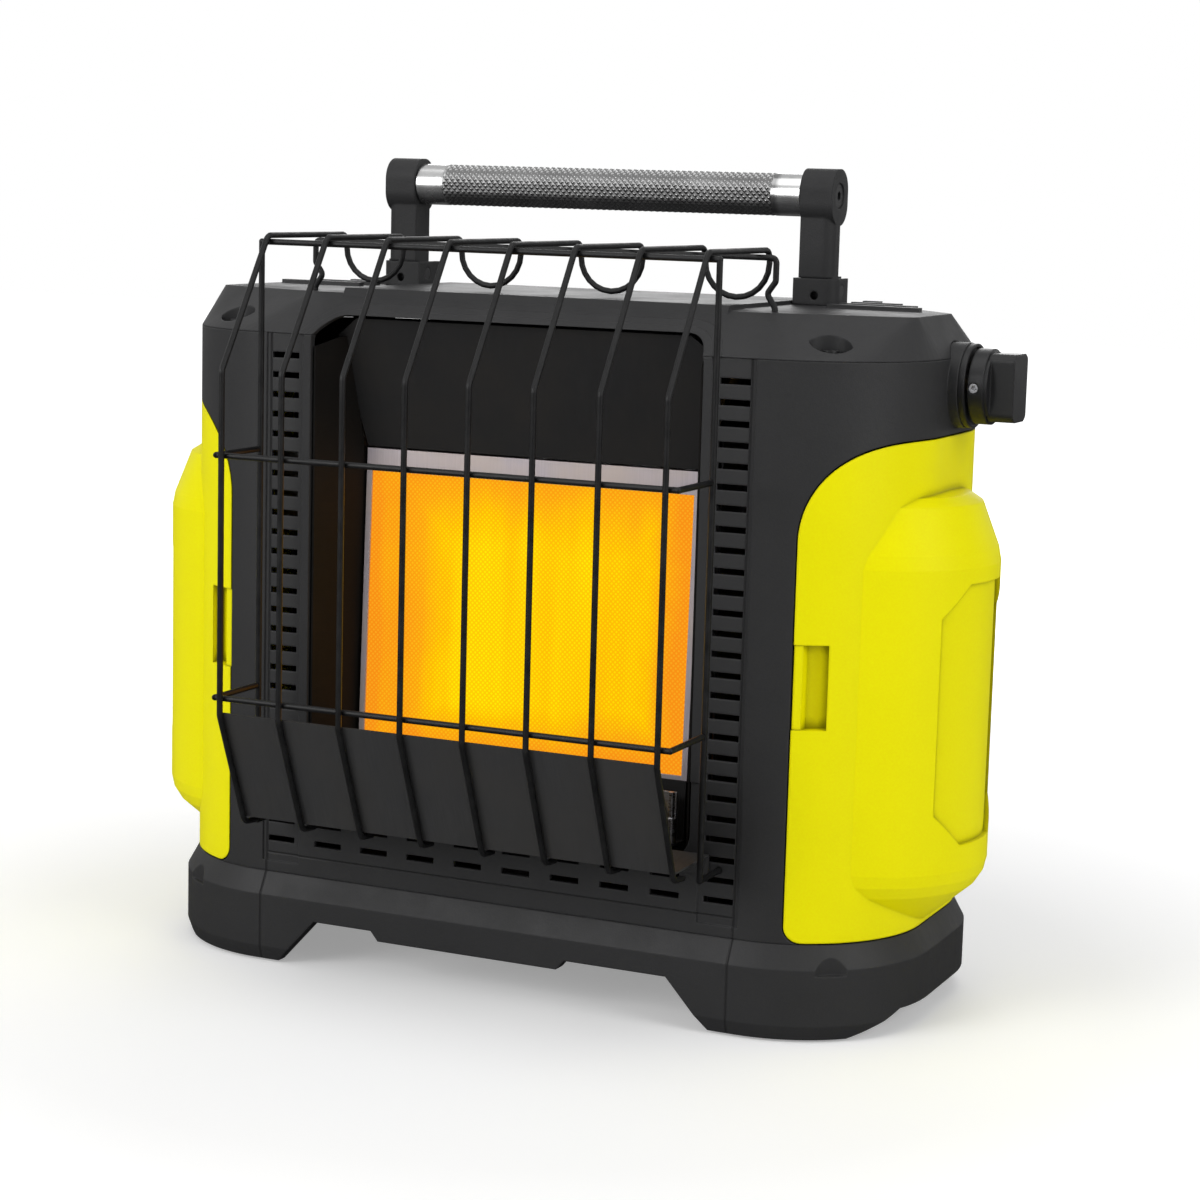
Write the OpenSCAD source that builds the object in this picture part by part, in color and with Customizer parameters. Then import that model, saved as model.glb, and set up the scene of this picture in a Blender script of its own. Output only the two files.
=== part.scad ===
// Portable propane heater with two cylinder compartments, a ceramic burner
// behind a wire guard, a folding handle and a push-and-turn control knob.
// Millimetres, +Z up. The front faces -Y and the knob is on the +X side.
// Casing sizes are measured from the middle of the body; placed() then moves
// everything so that the origin is below the middle of the whole object.

/* [Casing] */
// Width of the body across its side walls
body_w = 406; // [402:1:412]
// Depth of the body from front wall to back wall
body_d = 182; // [180:1:188]
// Radius of the body's upright corners
corner_r = 68; // [66:0.5:69]
// Thickness of the moulded casing walls
wall = 2.5; // [2.2:0.1:2.8]
// Height of the seam between the base and the walls
base_h = 47; // [45:1:49]
// How far the base stands out past the body
base_flare = 6; // [5:0.5:7]
// Height of the seam between the walls and the top cover
wall_top_z = 327; // [325:1:329]
// Height of the flat top at the casing's ends
top_z = 348; // [346:1:350]
// How far the middle of the casing's top stands up
crown_rise = 2; // [1:0.5:2.5]
// Depth of the sloping front shoulder of the top cover
front_slope = 31; // [28:1:34]
// How far the top cover's side shoulders lean in
side_slope = 10; // [8:1:13]
// Gap left between casing parts at their seams
seam = 0.2; // [0.1:0.05:0.3]

/* [Base and feet] */
// Height of the arch between the front feet
arch_h = 25; // [22:1:27]
// Height of the arch in each end of the base
side_arch_h = 12.5; // [10:0.5:14]
// Distance from the middle to a front foot's inner edge at the floor
foot_inner_x = 121; // [116:1:126]
// Thickness of the floor plate
floor_t = 2.5; // [2:0.1:3]
// Radius of a rubber foot
pad_r = 8; // [6:0.5:9]
// How far a rubber foot stands out below the base
pad_proud = 0.8; // [0.5:0.1:1.5]

/* [Doors] */
// Distance from a side wall in to its door's front edge
door_inset = 48; // [46:1:50]
// Height of the top of the doors
door_top_z = 290; // [287:1:291]
// Radius of the door's large upper front corner
door_top_r = 48; // [42:1:52]
// Gap round the doors
door_gap = 0.8; // [0.6:0.1:1.2]
// Radius of the round bulge over a gas cylinder
bulge_r = 62; // [60:0.5:63]
// Distance from a side wall in to the bulge's axis
bulge_inset = 35; // [34:0.5:36]
// Height of the bulge's sloping upper end
bulge_shoulder = 34; // [30:1:38]
// Height of the bulge's sloping lower end
bulge_foot = 30; // [26:1:34]
// Distance behind the middle of the door's hinge axis
hinge_y = 48; // [47:0.5:49]
// Radius of a hinge knuckle
knuckle_r = 4; // [3.6:0.1:4.2]
// Radius of a hinge pin
hinge_pin_r = 1.5; // [1.3:0.05:1.7]
// Length of a hinge knuckle
knuckle_l = 20; // [14:1:24]

/* [Burner] */
// Width of the ceramic plaque
plaque_w = 186; // [180:1:187]
// Height of the burner's face with its clamp frame
plaque_h = 154; // [150:1:156]
// Height of the burner face's bottom edge
plaque_z0 = 114.5; // [113:0.5:116]
// Distance from the front wall back to the burner face's bottom edge
plaque_back = 28; // [27:0.5:30]
// Lean of the burner face in degrees, top to the back
plaque_lean = 2.1; // [1:0.1:3]
// Width of the opening in the front wall
opening_w = 214; // [210:1:216]
// Height of the opening's bottom edge
opening_z0 = 82; // [80:0.5:83]
// Height of the opening's top edge on the shoulder
opening_z1 = 337; // [335:0.5:338]
// Thickness of the sheet steel
sheet = 1; // [0.8:0.1:1.2]

/* [Vents] */
// Number of slots in each upright row
vent_rows = 26; // [20:1:27]
// Distance between slots
vent_pitch = 10.05; // [10:0.05:10.2]
// Height of the highest slot
vent_top_z = 316; // [315:0.5:317]
// Height of one slot
slot_h = 3; // [2:0.2:3.6]
// Width of one slot
slot_w = 15.6; // [12:0.2:16]
// Distance from the opening's side to a row's inner end
vent_gap = 7.8; // [7:0.2:9]

/* [Guard] */
// Radius of the guard's wire
wire_r = 1.5; // [1.3:0.05:1.6]
// Distance between the upright bars
bar_pitch = 33.6; // [32:0.1:34]
// Distance from the front wall to the bars
guard_depth = 67.3; // [64:0.5:70]
// Height of the guard's top
guard_top_z = 376.5; // [374:0.5:380]
// Height where the bars lean back at the top
upper_bend_z = 312; // [306:1:316]
// Height where the bars turn in at the bottom
lower_bend_z = 142; // [138:1:146]
// Height of the upper hoop
upper_hoop_z = 270.3; // [262:0.5:276]
// Height of the lower hoop
lower_hoop_z = 150; // [148:0.5:154]

/* [Handle] */
// Distance from a side wall in to a post's inner face
post_inset = 93; // [91:0.5:95]
// Width of a post along the bar
post_w = 17.5; // [16:0.5:18]
// Height of the bar's axis
bar_z = 403; // [400:0.5:408]
// Radius of the bar
bar_r = 10.8; // [9:0.1:11.5]
// Distance behind the middle of the posts and their pivots
post_y = 31; // [29:0.5:33]
// Height of the handle's pivots above the casing
pivot_rise = 7.4; // [7.2:0.1:8]
// Radius of a pivot pin
pivot_r = 3; // [2.5:0.1:3.2]

/* [Knob and valve] */
// Distance behind the middle of the knob's axis
knob_y = 4; // [0:0.5:6]
// Height of the knob's axis
knob_z = 313.5; // [312.5:0.25:314]
// Radius of the knob's ring
knob_r = 18.5; // [17:0.5:19]
// Length of the knob's ring
knob_ring_l = 9; // [8:0.5:10]
// Length of the knob's grip
knob_grip_l = 12; // [10:0.5:14]
// How far the knob is pushed in
knob_travel = 2.4; // [2:0.1:2.6]
// Radius of the valve's stem
stem_r = 3; // [2.6:0.1:3.2]
// Radial clearance of a running fit
run_fit = 0.08; // [0.05:0.01:0.1]

/* [Gas cylinder sockets] */
// Distance from a side wall in to a socket's axis
socket_inset = 48; // [47:0.5:49]
// Distance in front of the middle of a socket's axis
socket_front = 8; // [6:0.5:10]
// Radius of the threaded socket, for a one-inch thread
socket_r = 12.1; // [11.9:0.05:12.3]
// Depth of the threaded socket
socket_l = 14; // [12:0.5:16]
// Height of the socket's mouth
socket_z = 222; // [220:0.5:226]
// Radius of a regulator
regulator_r = 20; // [19:0.5:22]
// Radius of a gas line
line_r = 3; // [2.5:0.1:3.2]

/* [Hidden] */
$fn = 64;
hull_fn = 40;
small = 0.01;
bend_swell = 1.03;       // a wire is this much thicker at its bends
fit = 0.3;               // clearance where a piece seats on another
half_w = body_w / 2;
half_d = body_d / 2;
door_front_x = half_w - door_inset;
bulge_x = half_w - bulge_inset;
socket_x = half_w - socket_inset;
vent_x = opening_w / 2 + vent_gap;
post_x = half_w - post_inset;
crown_z = top_z + crown_rise;
arc_x = half_w - corner_r;
arc_y = half_d - corner_r;
base_half_w = half_w + base_flare;
base_half_d = half_d + base_flare;
front_y = -half_d;
plastic = "#333335";
dark_steel = "#29292b";
steel = "#b8b6ba";
brass = "#b59a4a";
yellow = "#f4ee00";
rubber = "#222222";

// base
base_foot_z = pad_proud;
base_lower_z = 8;        // where the rounded lower edge ends
base_shoulder_z = 36;    // where the sloping shoulder starts
base_edge_in = 2.5;
arch_lean = 22;
floor_z = arch_h + floor_t + 0.5;
pad_x = 142;
pad_y = 78;
pad_h = 4;
foot_boss_r = pad_r + 2.5;
tongue_x0 = -66;
tongue_x1 = 45;
tongue_drop = 5;
side_arch_y = 74;
side_arch_lean = 24;

// top cover
rear_slope = 29;
front_cut = [64, 20];    // long cut of the flat top's front corners
rear_cut = [40, 40];
top_corner_r = 6;
top_edge = 0.7;          // soft edge round the flat top
top_edge_in = 8;
seam_tongue_l = 4;       // how far the tongue hangs behind the rear seam
seam_tongue_t = 1;
crown_half_w = post_x - 4;
crown_gap = 3;           // from the flat top's edges to the raised middle
lip_w = 4.8;             // width of one step of the opening's rim
lip_h = 0.7;
opening_r = 14;
bar_rib_x = half_w - 70;
bar_rib_ends = [12, 20, 34, 51];  // from the flat top's side edge
bar_rib_w = 5;
bar_rib_h = 2;
bar_rib_pitch = 18;
bar_rib_y = 2;

// doors
door_z0 = base_h;
door_low_r = 9;
bulge_y = -11;
bulge_z0 = base_h + 3.5;
bulge_z1 = door_top_z - 27;
bulge_top_in = 10;       // how far the sloping upper end leans in
bulge_foot_in = 22;
hinge_x = arc_x + sqrt(pow(corner_r, 2) - pow(hinge_y - arc_y, 2)) + 1.3;
door_rear_y = hinge_y - knuckle_r;
knuckle_low_z = base_h + 13;
knuckle_high_z = door_top_z - 52 - 2 * knuckle_l;
panel_turn = -5.5;
panel_z = 157.5;
panel_half_h = 64;
panel_half_w = 33.8;
panel_cut = 16;
panel_deep = 2.6;
grip_z0 = 152;
grip_z1 = 193;
grip_x0 = door_front_x + 4.8;
grip_w = 11.2;
grip_deep = 7;
grip_bar_deep = 0.9;

// burner
plaque_y0 = front_y + plaque_back;
strip_h = 11;
frame_side = 2.4;
plaque_t = 12;
box_deep = 30;
recess_gap = 0.9;        // from the opening's edge to the sheet steel
hood_top_y = front_y + 18;
venturi_r = 11;
venturi_y = 12;
venturi_z0 = 146;
venturi_z1 = 226;
pilot_y = front_y + 14.5;

// guard
bar_y = front_y - guard_depth;
bars = 8;
first_bar_x = -bar_pitch * (bars - 1) / 2;
guard_side_x = -first_bar_x + 4.9;
bar_top_front_y = bar_y + 41.5;
bar_top_rear_y = front_y + 52.4;
loop_drop = 6.5;
bar_bend_r = 5;
rear_bend_r = 2.5;
weld = 0.2;
cross = 2 * wire_r + weld;
front_frame_y = bar_top_front_y + 2.5;
rear_frame_y = front_y + 37;
rear_frame_x = guard_side_x + 4.6;
wire_end_z = vent_top_z - 23.5 * vent_pitch;
bar_low = [bar_y + 23.8, opening_z0 + 1.6];
bar_hook = [bar_y + 35, opening_z0 + 0.6];
snap_kink = 4.3;

// handle
pivot_z = top_z + pivot_rise;
post_depth = 23;
shank_front = 9;
shank_rear = 6.3;
head_z0 = bar_z - 15;
head_z1 = bar_z + 13.5;
head_r = 11;
shank_r = 5.5;
post_end_r = 6.3;
bracket_wall = 2.4;
bracket_front_y = post_y - shank_front - fit;
bracket_rear_y = post_y + 14;
bracket_z1 = pivot_z + 6.2;
bracket_r = 6;
bracket_play = 0.3;

// knob and valve
boss_r = 21;
knob_gap = 1.3;          // from the bezel's rim to the knob's ring
boss_x = half_w + 5;
bezel_x = boss_x + 3.2;
bezel_floor_x = bezel_x + knob_gap - knob_travel - fit;
knob_x = bezel_x + knob_gap;
grip_x = knob_x + knob_ring_l;
knob_end_x = grip_x + knob_grip_l;
set_screw_x = knob_x + 2.8;
set_screw_r = 2.3;
grip_half_h = knob_r - 2;
grip_half_t = 11;
neck_r = 9;
chamber_r = 6.2;
collar_r = chamber_r - run_fit;
valve_x0 = half_w - 55;
valve_x1 = half_w - 15;
chamber_x = half_w - 11;
collar_x = half_w + 0.2;
collar_t = 2;
spring_turns = 5;
spring_wire = 0.5;
spring_coil_r = 4.7;
stem_tail_x = valve_x0 + 20;
igniter_l = 29;

// gas parts
regulator_h = 40;
seat_z = regulator_h + socket_z;
partition_x = plaque_w / 2 + 8;
partition_top_z = door_top_z - 4;
seat_r = socket_x - partition_x - sheet - 9;
manifold_z = 300;
manifold_y = 60;
outlet_h = 12;
line_bend_r = 4;
switch_x = -46;
switch_y = 43;

// frame: the origin lies below the middle of the whole object's box
x_min = -(bulge_x + bulge_r);
x_max = knob_end_x;
y_min = bar_y - wire_r;
y_max = base_half_d;
frame_shift = [-(x_min + x_max) / 2, -(y_min + y_max) / 2, 0];

// ---- helpers ----

module placed() translate(frame_shift) children();

// mirrors its children to the other side of the body
module left_side() mirror([1, 0, 0]) children();

module both_sides() {
    children();
    left_side() children();
}

module both_ends() {
    children();
    mirror([0, 1, 0]) children();
}

// box from its low corner to its high corner
module block(low, high) translate(low) cube(high - low);

// rectangle with round corners, between two x and two y values
module round_rect(x0, x1, y0, y1, r) {
    translate([x0 + r, y0]) square([x1 - x0 - 2 * r, y1 - y0]);
    translate([x0, y0 + r]) square([x1 - x0, y1 - y0 - 2 * r]);
    for (x = [x0 + r, x1 - r], y = [y0 + r, y1 - r])
        translate([x, y]) circle(r);
}

// cylinder along +X
module rod_x(x0, x1, r) translate([x0, 0, 0]) rotate([0, 90, 0]) cylinder(h = x1 - x0, r = r);

// cylinder along +Y
module rod_y(y0, y1, r) translate([0, y1, 0]) rotate([90, 0, 0]) cylinder(h = y1 - y0, r = r);

// straight round rod between two points
module rod(a, b, r) {
    d = b - a;
    len = norm(d);
    translate(a) rotate([0, acos(d[2] / len), atan2(d[1], d[0])]) cylinder(h = len, r = r, $fn = 24);
}

// bent wire through a list of points, swollen a little at each bend
module wire(points, r) {
    for (i = [0 : len(points) - 2])
        rod(points[i], points[i + 1], r);
    for (i = [1 : 1 : len(points) - 2])
        translate(points[i]) sphere(r * bend_swell, $fn = 32);
}

function unit(v) = v / norm(v);

// points of a round bend between two straight runs that meet at b
function bend(a, b, c, bend_r, steps) =
    let (u = unit(a - b), v = unit(c - b), half = acos(u * v) / 2, turn = 180 - 2 * half,
        centre = b + unit(u + v) * bend_r / sin(half),
        p = b + u * bend_r / tan(half) - centre, q = b + v * bend_r / tan(half) - centre)
    [for (k = [0 : steps])
        centre + (p * sin(turn * (1 - k / steps)) + q * sin(turn * k / steps)) / sin(turn)];

// path with a round bend in place of each corner
function rounded(path, bend_r, steps) = concat([path[0]],
    [for (i = [1 : len(path) - 2]) each bend(path[i - 1], path[i], path[i + 1], bend_r, steps)],
    [path[len(path) - 1]]);

// normals carried along a path without twist
function carried(along, normal, i = 0) = i == len(along) ? [] :
    let (n = unit(normal - along[i] * (normal * along[i]))) concat([n], carried(along, n, i + 1));

// round wire swept along a path
module swept_wire(path, r, sides, first_normal) {
    last = len(path) - 1;
    legs = [for (i = [1 : last]) unit(path[i] - path[i - 1])];
    along = [for (i = [0 : last]) unit(legs[max(i - 1, 0)] + legs[min(i, last - 1)])];
    normal = carried(along, first_normal);
    points = [for (i = [0 : last], k = [0 : sides - 1])
        let (turn = 360 * k / sides, side = cross(along[i], normal[i]))
        path[i] + r * (normal[i] * cos(turn) + side * sin(turn))];
    faces = concat([[for (k = [0 : sides - 1]) k]], [[for (k = [sides - 1 : -1 : 0]) last * sides + k]],
        [for (i = [0 : last - 1], k = [0 : sides - 1])
            let (next = (k + 1) % sides)
            [i * sides + next, i * sides + k, (i + 1) * sides + k, (i + 1) * sides + next]]);
    polyhedron(points, faces);
}

// shape drawn in x and z, extruded along Y between two values
module extrude_y(y0, y1) translate([0, y1, 0]) rotate([90, 0, 0]) linear_extrude(y1 - y0) children();

// shape drawn in y and z, extruded along X between two values
module extrude_x(x0, x1) translate([x0, 0, 0]) rotate([90, 0, 90]) linear_extrude(x1 - x0) children();

// the body's plan, drawn in by inset, as a prism
module body_prism(inset, z0, z1)
    translate([0, 0, z0]) linear_extrude(z1 - z0)
        round_rect(-half_w + inset, half_w - inset, -half_d + inset, half_d - inset, corner_r - inset);

// ---- casing ----

// one storey of the base's outer form, its outline drawn in by in0 at the
// bottom and by in1 at the top
module base_storey(z0, z1, in0, in1) {
    for (x = [-arc_x, arc_x], y = [-arc_y, arc_y])
        translate([x, y, z0])
            cylinder(h = z1 - z0, r1 = corner_r + base_flare - in0, r2 = corner_r + base_flare - in1);
    extrude_y(-arc_y, arc_y)
        polygon([[-base_half_w + in0, z0], [base_half_w - in0, z0],
            [base_half_w - in1, z1], [-base_half_w + in1, z1]]);
    extrude_x(-arc_x, arc_x)
        polygon([[-base_half_d + in0, z0], [base_half_d - in0, z0],
            [base_half_d - in1, z1], [-base_half_d + in1, z1]]);
}

module base() color(plastic) placed() difference() {
    union() {
        difference() {
            union() {
                base_storey(base_foot_z, base_lower_z, base_edge_in, 0);
                base_storey(base_lower_z, base_shoulder_z, 0, 0);
                base_storey(base_shoulder_z, base_h, 0, base_flare);
            }
            body_prism(wall, floor_z, base_h + 1);
            body_prism(wall, -1, floor_z - floor_t);
            base_arches();
        }
        both_sides() both_ends() translate([pad_x, pad_y, base_foot_z])
            cylinder(h = floor_z - base_foot_z - 1, r = foot_boss_r);
        both_sides() cylinder_seat();
    }
    both_sides() both_ends() translate([pad_x, pad_y, 0]) cylinder(h = pad_h + fit, r = pad_r + fit);
    both_sides() both_ends() base_dimple();
    both_sides() floor_screw_places() translate([0, 0, -1]) cylinder(h = 10, r = floor_screw_r + fit);
}

// arches between the feet, with the tongue in the middle of the front
module base_arches() {
    difference() {
        extrude_y(-base_half_d - 1, base_half_d + 1)
            polygon([[-foot_inner_x - 1, -1], [-foot_inner_x, base_foot_z],
                [-foot_inner_x + arch_lean, arch_h], [foot_inner_x - arch_lean, arch_h],
                [foot_inner_x, base_foot_z], [foot_inner_x + 1, -1]]);
        extrude_y(-base_half_d - 2, front_y + 2)
            polygon([[tongue_x0, arch_h + 1], [tongue_x0 + 5, arch_h - tongue_drop],
                [tongue_x1 - 5, arch_h - tongue_drop], [tongue_x1, arch_h + 1]]);
    }
    extrude_x(-base_half_w - 1, base_half_w + 1)
        polygon([[-side_arch_y - 1, -1], [-side_arch_y, base_foot_z],
            [-side_arch_y + side_arch_lean, side_arch_h], [side_arch_y - side_arch_lean, side_arch_h],
            [side_arch_y, base_foot_z], [side_arch_y + 1, -1]]);
}

// low ring that centres a gas cylinder on the floor
module cylinder_seat() translate([socket_x, -socket_front, floor_z - 0.5]) difference() {
    cylinder(h = 3, r = seat_r);
    translate([0, 0, -1]) cylinder(h = 5, r = seat_r - 2);
}

screw_r = 2;
screw_head_r = 4;
floor_screw_r = 1.6;
floor_screw_head_r = 2.9;
dimple_l = 9.4;
dimple_t = 3.6;
dimple_turn = 54;
dimple_out = corner_r + base_flare + 0.6;
dimple_z = base_shoulder_z - 3;

// shallow eye-shaped dimple where the sloping shoulder starts
module base_dimple()
    translate([arc_x, arc_y, 0]) rotate([0, 0, dimple_turn]) translate([dimple_out, 0, 0])
        rotate([0, 0, 84]) eye(dimple_l, dimple_t, dimple_z, base_h + 1);

// screws that come up through the floor into a partition's foot
module floor_screw_places() for (y = [42, 60])
    translate([partition_x + 5, y, floor_z - floor_t]) children();

// right door's outline in x and z, grown by g
module door_outline(g) {
    x0 = door_front_x - g;
    x1 = base_half_w + 60;
    z0 = door_z0 - g;
    z1 = door_top_z + g;
    r_top = door_top_r + g;
    r_low = door_low_r + g;
    translate([x0, z0 + r_low]) square([x1 - x0, z1 - r_top - z0 - r_low]);
    translate([x0 + r_low, z0]) square([x1 - x0 - r_low, z1 - r_top - z0]);
    translate([x0 + r_top, z0 + r_low]) square([x1 - x0 - r_top, z1 - z0 - r_low]);
    translate([x0 + r_low, z0 + r_low]) circle(r_low);
    translate([x0 + r_top, z1 - r_top]) circle(r_top);
}

// the space in front of the hinge line that a door fills
module door_space(g) extrude_y(-base_half_d - 20, door_rear_y + g) door_outline(g);

module door_window() door_space(0);

// opening over the burner, cut through from the front and grown by g; its
// upper edge grows less, as it lies on the sloping shoulder
module opening_space(g) extrude_y(front_y - 20, front_y + 50)
    round_rect(-opening_w / 2 - g, opening_w / 2 + g, opening_z0 - g, opening_z1 + g * 0.6, opening_r + g);

// one step of the rim round the opening, to be cut out of a grown outer shell
module opening_lip_space(w) difference() {
    opening_space(w);
    opening_space(0);
    block([-half_w, front_y - 21, 0], [half_w, 0, opening_z0 + 40]);
}

module vent_slot(x, z)
    block([x, front_y - 1, z - slot_h / 2], [x + slot_w, front_y + wall + 1, z + slot_h / 2]);

low_slots = 8;
low_slot_pitch = 27;

module front_vents() {
    both_sides() {
        block([vent_x - 3, front_y - 1, vent_top_z - vent_rows * vent_pitch - 2],
            [vent_x + slot_w + 3, front_y + 0.8, wall_top_z + 1]);
        for (i = [0 : vent_rows - 1])
            vent_slot(vent_x, vent_top_z - i * vent_pitch);
    }
    for (row = [vent_rows - 2, vent_rows - 1], i = [0 : low_slots - 1])
        vent_slot((i - (low_slots - 1) / 2) * low_slot_pitch - slot_w / 2, vent_top_z - row * vent_pitch);
}

module knob_boss(r, x0, x1) translate([0, knob_y, knob_z]) rod_x(x0, x1, r);

module front_cover() color(plastic) placed() difference() {
    union() {
        intersection() {
            difference() {
                body_prism(0, base_h + seam, wall_top_z);
                body_prism(wall, base_h, wall_top_z + 1);
            }
            block([-half_w - 1, -half_d - 1, 0], [half_w + 1, door_rear_y - seam, top_z]);
        }
        intersection() {
            body_prism(-2 * lip_h, base_h + seam, wall_top_z);
            opening_lip_space(lip_w);
            block([-half_w, front_y - 5, 0], [half_w, front_y + wall, top_z]);
        }
        knob_boss(boss_r, half_w - 8, boss_x);
    }
    both_sides() door_window();
    opening_space(0);
    front_vents();
    knob_boss(neck_r + fit, half_w - 20, boss_x + 1);
    both_sides() translate([guard_side_x, 0, wire_end_z])
        rod_y(front_y - 1, front_y + wall + 1, wire_r + fit);
}

knuckle_gap = 0.5;

// upright cylinder on the right door's hinge axis
module hinge_rod(z0, z1, r) translate([hinge_x, hinge_y, z0]) cylinder(h = z1 - z0, r = r);

// web that ties a knuckle to the shell, on the side that y1 lies
module knuckle_web(z0, z1, y0, y1)
    block([hinge_x - knuckle_r + 0.8, y0, z0], [hinge_x - 0.6, y1, z1]);

body_knuckles = [knuckle_low_z, knuckle_high_z + knuckle_l];
door_knuckles = [knuckle_low_z + knuckle_l, knuckle_high_z];

rear_vent_rows = 10;
rear_vent_cols = 5;

module rear_cover() color(plastic) placed() difference() {
    union() {
        intersection() {
            difference() {
                body_prism(0, base_h + seam, wall_top_z);
                body_prism(wall, base_h, wall_top_z + 1);
            }
            block([-half_w - 1, door_rear_y, 0], [half_w + 1, half_d + 1, top_z]);
        }
        both_sides() for (z = body_knuckles) {
            hinge_rod(z, z + knuckle_l, knuckle_r);
            knuckle_web(z, z + knuckle_l, hinge_y, hinge_y + knuckle_r + 3);
        }
    }
    both_sides() for (z = door_knuckles)
        hinge_rod(z - knuckle_gap, z + knuckle_l + knuckle_gap, knuckle_r + 1);
    both_sides() for (z = body_knuckles)
        hinge_rod(z - 1, z + knuckle_l + 1, hinge_pin_r + run_fit);
    for (i = [0 : rear_vent_rows - 1], k = [0 : rear_vent_cols - 1])
        translate([(k - (rear_vent_cols - 1) / 2) * 32, 0, 180 + i * vent_pitch])
            block([-11, half_d - wall - 1, -slot_h / 2], [11, half_d + 1, slot_h / 2]);
}

// rods at the flat top's corners, drawn in by inset
module top_corners(inset, z) {
    x = half_w - side_slope - inset - top_corner_r;
    y0 = -half_d + front_slope + inset + top_corner_r;
    y1 = half_d - rear_slope - inset - top_corner_r;
    corners = [[x - front_cut[0], y0], [x, y0 + front_cut[1]], [x, y1 - rear_cut[1]], [x - rear_cut[0], y1]];
    for (s = [-1, 1], p = corners)
        translate([s * p[0], p[1], z]) cylinder(h = small, r = top_corner_r, $fn = hull_fn);
}

// top cover's outer form, drawn in by inset
module top_form(inset) hull() {
    translate([0, 0, wall_top_z + seam]) linear_extrude(small)
        round_rect(-half_w + inset, half_w - inset, -half_d + inset, half_d - inset,
            corner_r - inset, $fn = hull_fn * 2);
    top_corners(inset, top_z - top_edge - inset);
    top_corners(inset + top_edge_in, top_z - inset);
}

// raised middle of the flat top, drawn in by inset
module crown(inset) hull() {
    x = crown_half_w - inset;
    y0 = -half_d + front_slope - crown_gap + inset;
    y1 = half_d - rear_slope - crown_gap - inset;
    block([-x, y0, top_z - crown_gap - inset], [x, y1, top_z - crown_gap - inset + small]);
    block([-x, y0 + crown_gap, crown_z - inset - small], [x, y1 - crown_gap, crown_z - inset]);
}

// upright prism with the outline of an eye
module eye(half_l, half_t, z0, z1) {
    r = (half_l * half_l + half_t * half_t) / (2 * half_t);
    intersection_for (s = [-1, 1])
        translate([0, s * (r - half_t), z0]) cylinder(h = z1 - z0, r = r);
}

pocket_z = wall_top_z + 2.4;
pocket_l = 10.8;
pocket_t = 6.8;
pocket_at = [27.6, 48.5];  // from the middle of a corner's rounding
pocket_turn = -8;

module top_screw_place()
    translate([arc_x + pocket_at[0], arc_y + pocket_at[1], 0]) rotate([0, 0, pocket_turn]) children();

// tongue that hangs from the top cover and covers its rear seam from inside
module seam_tongue() {
    y0 = half_d - wall - fit - seam_tongue_t;
    z1 = wall_top_z + seam + seam_tongue_t;
    block([-arc_x, y0, wall_top_z - seam_tongue_l], [arc_x, y0 + seam_tongue_t, z1]);
    block([-arc_x, y0, wall_top_z + seam], [arc_x, half_d - wall + seam_tongue_t / 2, z1]);
}

module top_cover() color(plastic) placed() difference() {
    union() {
        difference() {
            union() {
                top_form(0);
                crown(0);
                for (step = [1, 2]) intersection() {
                    top_form(-lip_h * step);
                    opening_lip_space(lip_w * (3 - step));
                    block([-half_w, -half_d - 5, wall_top_z + seam], [half_w, 0, top_z + 2]);
                }
            }
            difference() {
                union() {
                    top_form(wall);
                    crown(wall);
                }
                both_sides() both_ends() top_screw_place()
                    eye(pocket_l + 2, pocket_t + 2, wall_top_z, top_z);
            }
            block([-half_w - 5, -half_d - 5, 0], [half_w + 5, half_d + 5, wall_top_z + seam]);
        }
        both_sides() for (i = [0 : len(bar_rib_ends) - 1])
            block([bar_rib_x, bar_rib_y + i * bar_rib_pitch, top_z - wall],
                [half_w - side_slope - bar_rib_ends[i], bar_rib_y + i * bar_rib_pitch + bar_rib_w,
                    top_z + bar_rib_h]);
        seam_tongue();
    }
    opening_space(0);
    both_sides() both_ends() top_screw_place() {
        eye(pocket_l, pocket_t, pocket_z, top_z + 5);
        cylinder(h = top_z, r = screw_r + fit);
    }
    knob_boss(boss_r + fit, half_w - 30, half_w + 30);
    both_sides() translate([rear_frame_x, rear_frame_y, top_z - 20]) cylinder(h = 40, r = wire_r + fit);
    both_sides() for (x = bracket_screw_x)
        translate([x, bracket_screw_y, top_z - 20]) cylinder(h = 30, r = bracket_screw_r + fit);
}

// ---- doors ----

// solid of the bulge over a gas cylinder, drawn in by inset: a barrel with a
// steep slope at its upper end and a low one at its foot
module bulge(inset) translate([bulge_x, bulge_y, 0]) rotate_extrude() {
    r = bulge_r - inset;
    z0 = bulge_z0 + inset;
    z1 = bulge_z1 - inset;
    polygon([[0, z0], [r - bulge_foot_in - 4, z0], [r - bulge_foot_in, z0 + 3],
        [r - 5, z0 + bulge_foot * 0.6], [r - 1.3, z0 + bulge_foot * 0.8], [r, z0 + bulge_foot],
        [r, z1 - bulge_shoulder], [r - 1.3, z1 - bulge_shoulder * 0.8],
        [r - bulge_top_in, z1 - 5], [r - bulge_top_in - 6, z1 - 1.2], [r - bulge_top_in - 20, z1], [0, z1]]);
}

// bare field on the bulge, from one radius to another and grown by g
module bulge_panel(r0, r1, g) {
    w = panel_half_w + g;
    h = panel_half_h + g;
    intersection() {
        translate([bulge_x, bulge_y, 0]) difference() {
            cylinder(h = door_top_z, r = r1);
            cylinder(h = door_top_z, r = r0);
        }
        translate([bulge_x, bulge_y, panel_z]) rotate([0, 0, panel_turn])
            extrude_x(0, bulge_r + 10)
                polygon([[-w + panel_cut, -h], [w - panel_cut, -h], [w, -h + panel_cut], [w, h - panel_cut],
                    [w - panel_cut, h], [-w + panel_cut, h], [-w, h - panel_cut], [-w, -h + panel_cut]]);
    }
}

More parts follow.
